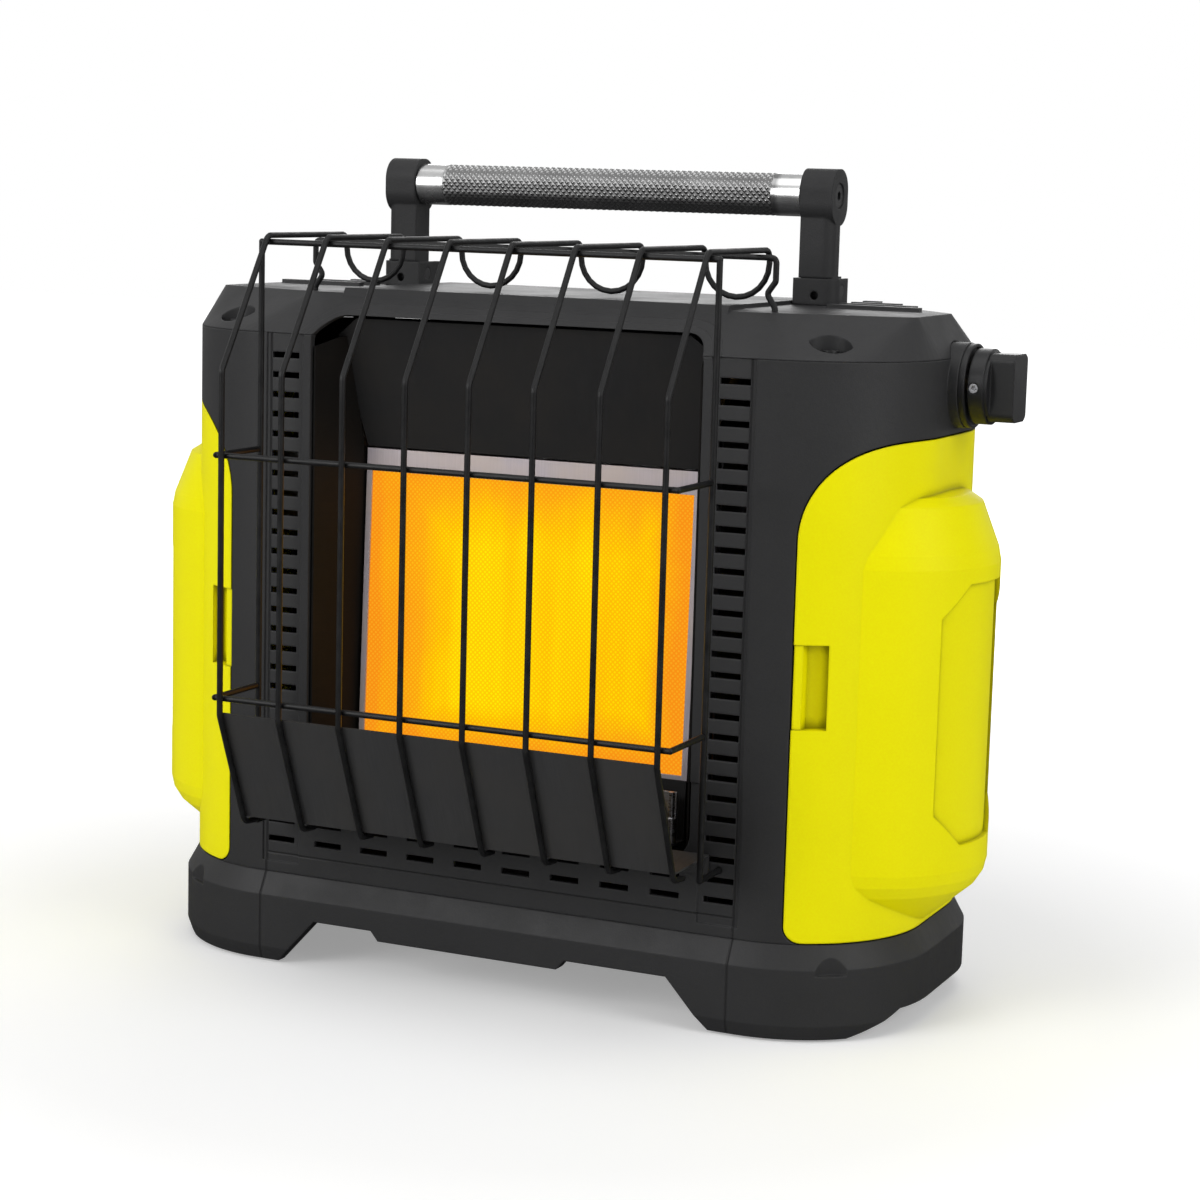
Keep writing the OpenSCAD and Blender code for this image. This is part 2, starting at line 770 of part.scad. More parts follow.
// finger pull at the door's front edge, grown by g on every side but the front
module grip_space(g) intersection() {
    extrude_y(front_y - 5, front_y + 40)
        translate([grip_x0 - g, grip_z0 - g]) square([grip_w + 2 * g, grip_z1 - grip_z0 + 2 * g]);
    difference() {
        body_prism(g == 0 ? -2 : 0, door_z0, door_top_z);
        body_prism(grip_deep + g, door_z0 - 1, door_top_z + 1);
    }
}

// low front edge beside the finger pull
module grip_bar_space() intersection() {
    extrude_y(front_y - 5, front_y + 40)
        translate([door_front_x - 5, grip_z0]) square([grip_x0 - door_front_x + 6, grip_z1 - grip_z0]);
    difference() {
        body_prism(-2, door_z0, door_top_z);
        body_prism(grip_bar_deep, door_z0 - 1, door_top_z + 1);
    }
}

module door_piece() difference() {
    union() {
        intersection() {
            difference() {
                union() {
                    body_prism(0, door_z0, door_top_z);
                    bulge(0);
                }
                body_prism(wall, door_z0 - 1, door_top_z + 1);
                bulge(wall);
            }
            door_space(-door_gap);
        }
        grip_space(1.6);
        bulge_panel(bulge_r - panel_deep - wall, bulge_r - wall / 2, wall);
        for (z = door_knuckles) {
            hinge_rod(z + knuckle_gap / 2, z + knuckle_l - knuckle_gap / 2, knuckle_r);
            knuckle_web(z + knuckle_gap / 2, z + knuckle_l - knuckle_gap / 2, hinge_y - 9, hinge_y);
        }
    }
    grip_space(0);
    grip_bar_space();
    bulge_panel(bulge_r - panel_deep, bulge_r + 5, 0);
    for (z = body_knuckles)
        hinge_rod(z - knuckle_gap, z + knuckle_l + knuckle_gap, knuckle_r + 1);
    hinge_rod(door_z0, door_top_z, hinge_pin_r + run_fit);
}

module right_door() color(yellow) placed() door_piece();
module left_door() color(yellow) placed() left_side() door_piece();

module hinge_pins() for (z = [knuckle_low_z, knuckle_high_z])
    hinge_rod(z, z + 2 * knuckle_l, hinge_pin_r);

module right_hinge_pins() color(steel) placed() hinge_pins();
module left_hinge_pins() color(steel) placed() left_side() hinge_pins();

module partition_piece() difference() {
    partition_sheet();
    floor_screw_places() cylinder(h = 10, r = floor_screw_r + run_fit);
}

module partition_sheet() {
    block([partition_x, plaque_y0 + 12, floor_z + seam],
        [partition_x + sheet, half_d - wall - fit, partition_top_z]);
    block([partition_x + sheet - small, half_d - wall - fit - sheet, floor_z + 10],
        [partition_x + 14, half_d - wall - fit, partition_top_z - 10]);
    block([partition_x + sheet - small, 35, floor_z + seam], [partition_x + 9, 67, floor_z + seam + sheet]);
}

module right_partition() color(steel) placed() partition_piece();
module left_partition() color(steel) placed() left_side() partition_piece();

// ---- burner ----

// burner face's own frame: x across, z up the face from its bottom edge
module burner_place() translate([0, plaque_y0, plaque_z0]) rotate([-plaque_lean, 0, 0]) children();

frame_lip = 1.2;
plaque_h_open = plaque_h - strip_h;

module ceramic_plaque() color("#f2b23a") placed() burner_place()
    block([-plaque_w / 2 + frame_side, frame_lip, frame_side],
        [plaque_w / 2 - frame_side, plaque_t, plaque_h_open]);

module burner_clamp_frame() color(steel) placed() burner_place() difference() {
    block([-plaque_w / 2, 0, 0], [plaque_w / 2, plaque_t - 2, plaque_h]);
    block([-plaque_w / 2 + frame_side + 0.6, -1, frame_side + 0.6],
        [plaque_w / 2 - frame_side - 0.6, plaque_t, plaque_h_open - 0.6]);
    block([-plaque_w / 2 + frame_side - fit, frame_lip - fit / 2, frame_side - fit],
        [plaque_w / 2 - frame_side + fit, plaque_t, plaque_h_open + fit]);
    block([-plaque_w / 2 + sheet, sheet, plaque_h_open + sheet + fit],
        [plaque_w / 2 - sheet, plaque_t, plaque_h - sheet]);
}

module burner_gasket() color("#d8d2c4") placed() burner_place() difference() {
    block([-plaque_w / 2 + 2, plaque_t + 0.1, 2], [plaque_w / 2 - 2, plaque_t + 2.1, plaque_h - 6]);
    block([-plaque_w / 2 + 12, plaque_t - 1, 12], [plaque_w / 2 - 12, plaque_t + 3, plaque_h - 18]);
}

box_y0 = plaque_t + 2.2;
box_y1 = box_y0 + box_deep;

module burner_box() color(steel) placed() difference() {
    burner_place() difference() {
        block([-plaque_w / 2 + 1, box_y0, 1], [plaque_w / 2 - 1, box_y1, plaque_h - 1]);
        block([-plaque_w / 2 + 2, box_y0 - 1, 2], [plaque_w / 2 - 2, box_y1 - sheet, plaque_h - 2]);
    }
    translate([0, 0, venturi_z1]) rod_y(front_y, venturi_y + 1, venturi_r + fit);
}

module venturi_tube() color(steel) placed() difference() {
    union() {
        translate([0, venturi_y, venturi_z0]) cylinder(h = venturi_z1 - venturi_z0, r = venturi_r);
        translate([0, venturi_y, venturi_z1]) sphere(venturi_r);
        translate([0, 0, venturi_z1]) rod_y(plaque_y0 + box_y1 - 8, venturi_y, venturi_r);
        translate([0, venturi_y, venturi_z0]) cylinder(h = 8, r = venturi_r + 3);
    }
    translate([0, venturi_y, venturi_z0 - 1])
        cylinder(h = venturi_z1 - venturi_z0 + 1, r = venturi_r - sheet);
    translate([0, venturi_y, venturi_z1]) sphere(venturi_r - sheet);
    translate([0, 0, venturi_z1]) rod_y(plaque_y0 + box_y1 - 9, venturi_y, venturi_r - sheet);
    translate([0, venturi_y, venturi_z0 + 4]) rod_x(-venturi_r - 5, venturi_r + 5, 2.4);
}

orifice_r = 4;

module gas_orifice() color(brass) placed() translate([0, venturi_y, 0]) difference() {
    union() {
        translate([0, 0, venturi_z0 - 16]) cylinder(h = 14, r = orifice_r + 3, $fn = 6);
        translate([0, 0, venturi_z0 - 2.1]) cylinder(h = 10, r = orifice_r);
    }
    translate([0, 0, venturi_z0 - 17]) cylinder(h = 16, r = line_r + run_fit);
    translate([0, 0, venturi_z0 - 5]) cylinder(h = 15, r = 0.6);
}

// sheet steel cone of the recess
side_out_x = opening_w / 2 - recess_gap;
side_in_x = plaque_w / 2 + 1.4;
lower_z = opening_z0 + 3;
hood_low_z = plaque_z0 + plaque_h + 1;
hood_low_y = plaque_y0 + 5.2;

module reflector_hood() color(dark_steel) placed() {
    lean = atan2(hood_low_y - hood_top_y, opening_z1 - 1 - hood_low_z);
    len = norm([hood_low_y - hood_top_y, opening_z1 - 1 - hood_low_z]);
    translate([0, hood_low_y, hood_low_z]) rotate([lean, 0, 0])
        extrude_y(0, sheet)
            polygon([[-side_in_x + 2, 0], [side_in_x - 2, 0],
                [side_out_x - 2.6, len - 10], [side_out_x - opening_r, len - 0.8],
                [-side_out_x + opening_r, len - 0.8], [-side_out_x + 2.6, len - 10]]);
}

module reflector_side() intersection() {
    linear_extrude(top_z)
        polygon([[side_out_x - sheet, front_y + 0.4], [side_out_x, front_y + 0.4],
            [side_in_x + sheet, plaque_y0 + 4], [side_in_x + sheet, plaque_y0 + 10],
            [side_in_x, plaque_y0 + 10], [side_in_x, plaque_y0 + 4]]);
    extrude_x(0, half_w)
        polygon([[front_y, opening_z0 + opening_r], [front_y + wall + fit, opening_z0 + opening_r],
            [front_y + wall + fit, lower_z + 2], [plaque_y0 + 12, lower_z + 2],
            [plaque_y0 + 12, hood_low_z - 4], [hood_low_y - fit, hood_low_z], [hood_top_y + 2, opening_z1 - 11],
            [front_y + 14, opening_z1 - 12], [front_y, wall_top_z - 6]]);
}

module right_reflector() color(dark_steel) placed() reflector_side();
module left_reflector() color(dark_steel) placed() left_side() reflector_side();

module lower_reflector() color(dark_steel) placed()
    extrude_x(-side_in_x + 1, side_in_x - 1)
        polygon([[front_y + 0.3, lower_z], [plaque_y0 - 1.6, lower_z], [plaque_y0 - 0.6, plaque_z0 + 1],
            [plaque_y0 - 1.6, plaque_z0 + 1], [plaque_y0 - 2.6, lower_z + sheet],
            [front_y + 0.3, lower_z + sheet]]);

// tray in front of the opening, lying just behind the leaning lower bars
lean_dir = unit(bar_low - [bar_y, lower_bend_z]);
lean_back = [-lean_dir[1], lean_dir[0]];
tray_gap = wire_r + fit;
tray_lift = 2.2;
tray_lip = 9;
tray_top = [bar_y, lower_bend_z] + lean_back * tray_gap;
tray_low = bar_low + lean_back * tray_gap - lean_dir * tray_lift;
tray_in = tray_low + lean_back * sheet + lean_dir * sheet * (1 - lean_back[1]) / lean_dir[1];
deflector_half_w = -first_bar_x;

module lower_deflector() color(dark_steel) placed() {
    extrude_x(-deflector_half_w, deflector_half_w)
        polygon([tray_top, tray_low, [front_y - fit - sheet, tray_low[1]],
            [front_y - fit - sheet, tray_low[1] - tray_lip], [front_y - fit, tray_low[1] - tray_lip],
            [front_y - fit, tray_low[1] + sheet], tray_in, tray_top + lean_back * sheet]);
}

module pilot_bracket() color(steel) placed()
    block([plaque_w / 2 - 20, pilot_y + 3.6, lower_z + sheet + fit],
        [plaque_w / 2 - 1, pilot_y + 4.6, plaque_z0 - 3]);

pilot_x = plaque_w / 2 - 10;

module pilot_burner() color(brass) placed() translate([pilot_x, pilot_y, lower_z + sheet + fit]) {
    cylinder(h = 16, r = 3.2);
    translate([0, 0, 15.9]) rotate([20, 0, 0]) cylinder(h = 6, r = 2);
}

module thermocouple() color(steel) placed() translate([pilot_x + 8, pilot_y, lower_z + sheet + fit]) {
    cylinder(h = 13, r = 2.4);
    cylinder(h = 26, r = 1.5);
}

module spark_electrode() color("#e8e4dc") placed()
    translate([pilot_x - 8, pilot_y, lower_z + sheet + fit]) {
        cylinder(h = 15, r = 2.5);
        cylinder(h = 21, r = 0.8);
    }

// ---- guard ----

// one bar's path in y and z, from its hooked lower end to the loop behind
bar_path = [bar_hook, bar_low, [bar_y, lower_bend_z], [bar_y, upper_bend_z],
    [bar_top_front_y, guard_top_z], [bar_top_rear_y, guard_top_z], [bar_top_rear_y, guard_top_z - loop_drop]];

// U-shaped wire that forms two neighbouring bars and the loop behind them
module bar_pair(i) {
    x0 = first_bar_x + 2 * i * bar_pitch;
    bar = rounded([for (p = bar_path) [x0, p[0], p[1]]], bar_bend_r, 4);
    far = [for (k = [len(bar) - 1 : -1 : 0]) bar[k] + [bar_pitch, 0, 0]];
    loop = [for (k = [1 : 11]) [x0 + bar_pitch / 2 * (1 - cos(15 * k)), bar_top_rear_y,
        guard_top_z - loop_drop - bar_pitch / 2 * sin(15 * k)]];
    swept_wire(concat(bar, loop, far), wire_r, 10, [1, 0, 0]);
}

module guard_bar_pair_1() color(dark_steel) placed() bar_pair(0);
module guard_bar_pair_2() color(dark_steel) placed() bar_pair(1);
module guard_bar_pair_3() color(dark_steel) placed() bar_pair(2);
module guard_bar_pair_4() color(dark_steel) placed() bar_pair(3);

// U-shaped hoop that ties the bars to the front frame
module hoop(z) {
    end_y = front_frame_y - cross / 2 - wire_r / 2;
    wire([[-guard_side_x, end_y, z], [-guard_side_x, bar_y + cross, z],
        [guard_side_x, bar_y + cross, z], [guard_side_x, end_y, z]], wire_r);
}

module guard_upper_hoop() color(dark_steel) placed() hoop(upper_hoop_z);
module guard_lower_hoop() color(dark_steel) placed() hoop(lower_hoop_z);

module guard_front_frame() color(dark_steel) placed() {
    side = [for (s = [-1, 1]) s * guard_side_x];
    wire([[side[0], front_y + wall, wire_end_z], [side[0], front_frame_y, wire_end_z],
        [side[0], front_frame_y, guard_top_z - cross], [side[1], front_frame_y, guard_top_z - cross],
        [side[1], front_frame_y, wire_end_z], [side[1], front_y + wall, wire_end_z]], wire_r);
}

module guard_rear_frame() color(dark_steel) placed() {
    half = [[rear_frame_x, rear_frame_y, top_z - 8], [rear_frame_x, rear_frame_y, top_z + 1.5],
        [rear_frame_x - snap_kink, rear_frame_y, top_z + 8], [rear_frame_x, rear_frame_y, top_z + 14],
        [rear_frame_x, rear_frame_y, guard_top_z - cross]];
    other = [for (k = [len(half) - 1 : -1 : 0]) [-half[k][0], half[k][1], half[k][2]]];
    swept_wire(rounded(concat(half, other), rear_bend_r, 4), wire_r, 10, [0, 1, 0]);
}

// ---- valve and knob ----

module on_knob_axis() translate([0, knob_y, knob_z]) children();

module valve_body() color(brass) placed() on_knob_axis() difference() {
    union() {
        block([valve_x0, -16, -12.5], [valve_x1, 16, 12.5]);
        rod_x(valve_x1 - 1, boss_x + 1, neck_r);
    }
    rod_x(stem_tail_x - knob_travel - 2, chamber_x + 1, stem_r + run_fit);
    rod_x(chamber_x, bezel_x + 1, chamber_r);
}

module valve_stem() color(brass) placed() on_knob_axis() {
    rod_x(stem_tail_x, grip_x + 6, stem_r);
    rod_x(collar_x + collar_t + 0.1, collar_x + collar_t + 1.1, chamber_r - 1.2);
}

module push_collar() color(steel) placed() on_knob_axis() difference() {
    rod_x(collar_x, collar_x + collar_t, collar_r);
    rod_x(collar_x - 1, collar_x + collar_t + 1, stem_r + run_fit);
}

// coil swept along its helix, with flat ends
module knob_spring() color(steel) placed() on_knob_axis() {
    sides = 6;
    steps = 16 * spring_turns;
    x0 = chamber_x + spring_wire + 0.1;
    x1 = collar_x - spring_wire - 0.1;
    points = [for (i = [0 : steps], k = [0 : sides - 1])
        let (a = 360 * spring_turns * i / steps, b = 360 * k / sides,
            r = spring_coil_r + spring_wire * cos(b))
        [x0 + (x1 - x0) * i / steps + spring_wire * sin(b), r * cos(a), r * sin(a)]];
    faces = concat([[for (k = [sides - 1 : -1 : 0]) k]], [[for (k = [0 : sides - 1]) steps * sides + k]],
        [for (i = [0 : steps - 1], k = [0 : sides - 1])
            let (next = (k + 1) % sides)
            [i * sides + k, i * sides + next, (i + 1) * sides + next, (i + 1) * sides + k]]);
    polyhedron(points, faces);
}

module grip_outline() round_rect(-grip_half_t, grip_half_t, -grip_half_h, grip_half_h, 4);

module control_knob() color(plastic) placed() on_knob_axis() difference() {
    union() {
        rod_x(knob_x, grip_x - 1.5, knob_r);
        rod_x(grip_x - 2, grip_x, knob_r - 1.2);
        intersection() {
            extrude_x(grip_x - 1, knob_end_x) grip_outline();
            rod_x(grip_x - 2, knob_end_x + 1, knob_r - 0.6);
        }
    }
    rod_x(knob_x - 1, knob_x + 2.6, knob_r - 3);
    rod_x(knob_x, grip_x + 7, stem_r + run_fit);
    translate([set_screw_x, 0, 0]) rod_y(-knob_r - 1, -stem_r, set_screw_r + fit / 2);
}

module knob_screw() color(steel) placed() on_knob_axis()
    translate([set_screw_x, 0, 0]) difference() {
        rod_y(-knob_r + 0.4, -stem_r - 0.2, set_screw_r);
        rod_y(-knob_r, -knob_r + 2.2, 1.2, $fn = 6);
    }

// cup that the knob's ring dips into when it is pressed
module knob_bezel() color(plastic) placed() on_knob_axis() difference() {
    rod_x(boss_x + fit / 2, bezel_x, boss_r - 0.4);
    rod_x(boss_x - 1, bezel_x + 1, neck_r + fit);
    rod_x(bezel_floor_x, bezel_x + 1, knob_r + fit + 0.1);
}

module piezo_igniter() color(rubber) placed() on_knob_axis() {
    rod_x(valve_x0 - igniter_l, valve_x0 - fit, 7);
    rod_x(valve_x0 - igniter_l - 4, valve_x0 - igniter_l + 0.1, 2.5);
}

lead_r = 1;

module spark_lead() color("#d9d4c8") placed() {
    lead_x = partition_x - 3;
    top = valve_x0 - igniter_l - 4.3;
    wire([[top, knob_y, knob_z], [lead_x, knob_y, knob_z - 10], [lead_x, 0, plaque_z0 - 20],
        [lead_x, plaque_y0 + 14, lower_z - 8], [pilot_x - 8, pilot_y, lower_z - 8],
        [pilot_x - 8, pilot_y, lower_z - 0.3]], lead_r);
}

// ---- gas parts ----

module on_socket_axis() translate([socket_x, -socket_front, 0]) children();

seal_h = 2;

module regulator_piece() on_socket_axis() difference() {
    union() {
        translate([0, 0, socket_z + 8]) cylinder(h = regulator_h - 8, r = regulator_r);
        translate([0, 0, socket_z]) cylinder(h = 8.1, r = regulator_r - 3);
        translate([0, 0, seat_z - 0.1]) cylinder(h = outlet_h + 0.1, r = 6);
    }
    translate([0, 0, socket_z - 1]) cylinder(h = socket_l + 1, r = socket_r);
    translate([0, 0, socket_z + socket_l - 0.1]) cylinder(h = seal_h + 0.2, r = socket_r - 2);
    translate([0, 0, socket_z + socket_l]) cylinder(h = regulator_h, r = line_r + run_fit);
}

module right_regulator() color(steel) placed() regulator_piece();
module left_regulator() color(steel) placed() left_side() regulator_piece();

module socket_seals() color(rubber) placed() both_sides() on_socket_axis()
    translate([0, 0, socket_z + socket_l + 0.05]) difference() {
        cylinder(h = seal_h, r = socket_r - 2.1);
        translate([0, 0, -1]) cylinder(h = seal_h + 2, r = line_r + 1);
    }

module regulator_bracket_piece() difference() {
    union() {
        block([partition_x + sheet + fit, -socket_front - 17, seat_z + 0.1],
            [socket_x + 16, -socket_front + 17, seat_z + 2.1]);
        block([partition_x + sheet + fit, -socket_front - 17, seat_z - 16],
            [partition_x + sheet + fit + 2, -socket_front + 17, seat_z + 1]);
    }
    on_socket_axis() cylinder(h = top_z, r = 6 + fit);
}

module right_regulator_bracket() color(steel) placed() regulator_bracket_piece();
module left_regulator_bracket() color(steel) placed() left_side() regulator_bracket_piece();

// thin tube bent along a path
module gas_line(path) swept_wire(rounded(path, line_bend_r, 4), line_r, 12, [0, 1, 1]);

// feed line from both regulators to the valve's rear
module gas_manifold() color(brass) placed() {
    y_s = -socket_front;
    z0 = seat_z + 2;
    valve_in_x = valve_x0 + 8;
    tee = [valve_in_x - 6, knob_y + 28, manifold_z - 10];
    gas_line([[-socket_x, y_s, z0], [-socket_x, y_s, manifold_z - 14],
        [-socket_x + 20, manifold_y, manifold_z - 10],
        [valve_in_x - 30, manifold_y, manifold_z - 10], tee,
        [valve_in_x, knob_y + 28, knob_z], [valve_in_x, knob_y + 16.3, knob_z]]);
    gas_line([[socket_x, y_s, z0], [socket_x, y_s, manifold_z - 14], tee]);
}

module burner_gas_line() color(brass) placed()
    gas_line([[valve_x0 + 14, knob_y - 16.3, knob_z], [valve_x0 + 14, knob_y - 24, knob_z],
        [valve_x0 - 25, knob_y - 22, knob_z + 5],
        [partition_x - 20, 22, knob_z + 5], [30, 30, venturi_z0 + 60], [30, 30, venturi_z0 - 30],
        [0, venturi_y, venturi_z0 - 30], [0, venturi_y, venturi_z0 - 3]]);

module tip_over_switch() color(plastic) placed() translate([switch_x, switch_y, floor_z + seam]) {
    block([-14, -13, 0], [14, 13, 25.8]);
    translate([0, 0, 25.7]) cylinder(h = 8, r = 9);
    block([-20, -5, 0], [20, 5, 2.3]);
}

// ---- handle ----

bracket_screw_r = 1.8;
bracket_screw_y = bracket_rear_y - 3.5;
bracket_screw_x = [for (s = [-1, 1]) post_x + post_w / 2 + 5 * s];

// plan with its two outer corners round
module soft_plan(x0, x1, y0, y1, r) {
    translate([x0, y0]) square([x1 - x0 - r, y1 - y0]);
    translate([x0, y0 + r]) square([x1 - x0, y1 - y0 - 2 * r]);
    for (y = [y0 + r, y1 - r])
        translate([x1 - r, y]) circle(r);
}

module bracket_piece() difference() {
    translate([0, 0, top_z + seam]) linear_extrude(bracket_z1 - top_z - seam)
        soft_plan(post_x - bracket_play - bracket_wall, post_x + post_w + bracket_play + bracket_wall,
            bracket_front_y, bracket_rear_y, bracket_r);
    block([post_x - bracket_play, bracket_front_y + 2.3, top_z + 0.6],
        [post_x + post_w + bracket_play, bracket_rear_y + 1, bracket_z1 + 1]);
    translate([0, post_y, pivot_z]) rod_x(post_x - 10, post_x + post_w + 10, pivot_r + run_fit);
    translate([post_x + post_w / 2, 0, top_z + 5]) rod_y(bracket_front_y - 1, bracket_front_y + 4, 2.2);
    for (x = bracket_screw_x)
        translate([x, bracket_screw_y, top_z - 5]) cylinder(h = 10, r = bracket_screw_r + fit);
}

module right_handle_bracket() color(plastic) placed() bracket_piece();
module left_handle_bracket() color(plastic) placed() left_side() bracket_piece();

end_screw_r = 3;

module post_piece() difference() {
    union() {
        extrude_x(post_x, post_x + post_w) {
            translate([post_y, pivot_z]) circle(post_end_r);
            translate([post_y - post_end_r, pivot_z])
                square([post_end_r + shank_rear, bracket_z1 - pivot_z + 1]);
            round_rect(post_y - post_depth / 2, post_y + post_depth / 2, head_z0, head_z1, head_r);
        }
        translate([0, 0, bracket_z1 + fit]) linear_extrude(bar_z - bar_r - bracket_z1)
            soft_plan(post_x, post_x + post_w, post_y - shank_front, post_y + shank_rear, shank_r);
    }
    translate([0, post_y, pivot_z]) rod_x(post_x - 1, post_x + post_w + 1, pivot_r + run_fit);
    translate([0, post_y, bar_z]) rod_x(post_x - 1, post_x + post_w + 1, end_screw_r + fit / 2);
    translate([0, post_y, bar_z]) rod_x(post_x - 1, post_x + 2, bar_r - 2 + fit / 2);
    translate([0, post_y, bar_z]) rod_x(post_x + post_w - 4, post_x + post_w + 1, 6.4);
}

module right_handle_post() color(plastic) placed() post_piece();
module left_handle_post() color(plastic) placed() left_side() post_piece();

module handle_bar() color(steel) placed() translate([0, post_y, bar_z]) difference() {
    union() {
        rod_x(-post_x + 0.15, post_x - 0.15, bar_r);
        rod_x(-post_x - 1.8, post_x + 1.8, bar_r - 2);
    }
    both_sides() rod_x(post_x - 14, post_x + 3, end_screw_r + run_fit);
}

module handle_end_screws() color(steel) placed() both_sides() translate([0, post_y, bar_z]) difference() {
    union() {
        rod_x(post_x - 12, post_x + post_w - 3.8, end_screw_r);
        rod_x(post_x + post_w - 3.8, post_x + post_w - 0.6, 6);
    }
    translate([post_x + post_w, 0, 0]) rotate([0, -90, 0]) cylinder(h = 2.6, r = 2.5, $fn = 6);
}

module handle_pivot_pins() color(steel) placed() both_sides() translate([0, post_y, pivot_z])
    rod_x(post_x - bracket_play - bracket_wall, post_x + post_w + bracket_play + bracket_wall, pivot_r);

// ---- fasteners and feet ----

// pan-head screw with a cross recess, its head standing on z = 0
module pan_screw(l, r, head_r, head_h = 2.2) {
    translate([0, 0, -l]) cylinder(h = l, r = r);
    difference() {
        cylinder(h = head_h, r = head_r);
        translate([-head_r + 1, -0.5, head_h - 0.8]) cube([2 * head_r - 2, 1, 2]);
        translate([-0.5, -head_r + 1, head_h - 0.8]) cube([1, 2 * head_r - 2, 2]);
    }
}

module housing_screws() color(steel) placed() both_sides() {
    both_ends() top_screw_place()
        translate([0, 0, pocket_z + 0.1]) pan_screw(14, screw_r, screw_head_r);
    floor_screw_places() mirror([0, 0, 1])
        translate([0, 0, 0.1]) pan_screw(6, floor_screw_r, floor_screw_head_r);
}

module bracket_screws() color(steel) placed() both_sides() for (x = bracket_screw_x)
    translate([x, bracket_screw_y, top_z + 0.7]) pan_screw(9, bracket_screw_r, 2.6, 1.5);

module rubber_feet() color(rubber) placed() both_sides() both_ends()
    translate([pad_x, pad_y, 0]) cylinder(h = pad_h, r = pad_r);

base();
front_cover();
rear_cover();
top_cover();
left_partition();
right_partition();
left_door();
right_door();
left_hinge_pins();
right_hinge_pins();
reflector_hood();
left_reflector();
right_reflector();
lower_reflector();
lower_deflector();
burner_box();
burner_gasket();
ceramic_plaque();
burner_clamp_frame();
venturi_tube();
gas_orifice();
pilot_bracket();
pilot_burner();
thermocouple();
spark_electrode();
guard_front_frame();
guard_rear_frame();
guard_bar_pair_1();
guard_bar_pair_2();
guard_bar_pair_3();
guard_bar_pair_4();
guard_upper_hoop();
guard_lower_hoop();
valve_body();
valve_stem();
push_collar();
knob_spring();
control_knob();
knob_screw();
knob_bezel();
piezo_igniter();
spark_lead();
left_regulator();
right_regulator();
left_regulator_bracket();
right_regulator_bracket();
socket_seals();
gas_manifold();
burner_gas_line();
tip_over_switch();
left_handle_bracket();
right_handle_bracket();
left_handle_post();
right_handle_post();
handle_bar();
handle_pivot_pins();
handle_end_screws();
housing_screws();
bracket_screws();
rubber_feet();
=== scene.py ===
"""Looks of a portable propane heater: materials, dressed pieces, studio and camera.

Metres, +Z up. The front faces -Y and the control knob is on the +X side.

The CAD solids keep their shapes and get node materials on their slots. Two of
them are replaced: the grip bar, which gets its knurl, and the knob's return
spring, which is rebuilt as a coil of round wire.
"""

import math

import bpy
from mathutils import Matrix, Vector


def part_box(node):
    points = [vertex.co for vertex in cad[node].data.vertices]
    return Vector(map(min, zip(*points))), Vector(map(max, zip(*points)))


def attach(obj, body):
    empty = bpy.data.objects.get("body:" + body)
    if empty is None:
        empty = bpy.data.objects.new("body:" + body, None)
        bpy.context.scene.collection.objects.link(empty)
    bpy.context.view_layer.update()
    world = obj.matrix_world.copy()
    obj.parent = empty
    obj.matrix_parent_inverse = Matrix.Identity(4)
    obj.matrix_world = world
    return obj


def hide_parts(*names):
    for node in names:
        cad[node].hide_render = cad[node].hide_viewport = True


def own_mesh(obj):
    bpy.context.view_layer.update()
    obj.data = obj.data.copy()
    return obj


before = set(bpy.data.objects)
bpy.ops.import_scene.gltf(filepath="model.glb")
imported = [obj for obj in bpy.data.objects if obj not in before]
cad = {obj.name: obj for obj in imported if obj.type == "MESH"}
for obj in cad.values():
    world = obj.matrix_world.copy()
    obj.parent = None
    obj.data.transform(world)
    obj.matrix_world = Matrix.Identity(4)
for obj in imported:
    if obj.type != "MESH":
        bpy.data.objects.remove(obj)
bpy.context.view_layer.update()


# ---- material building ----


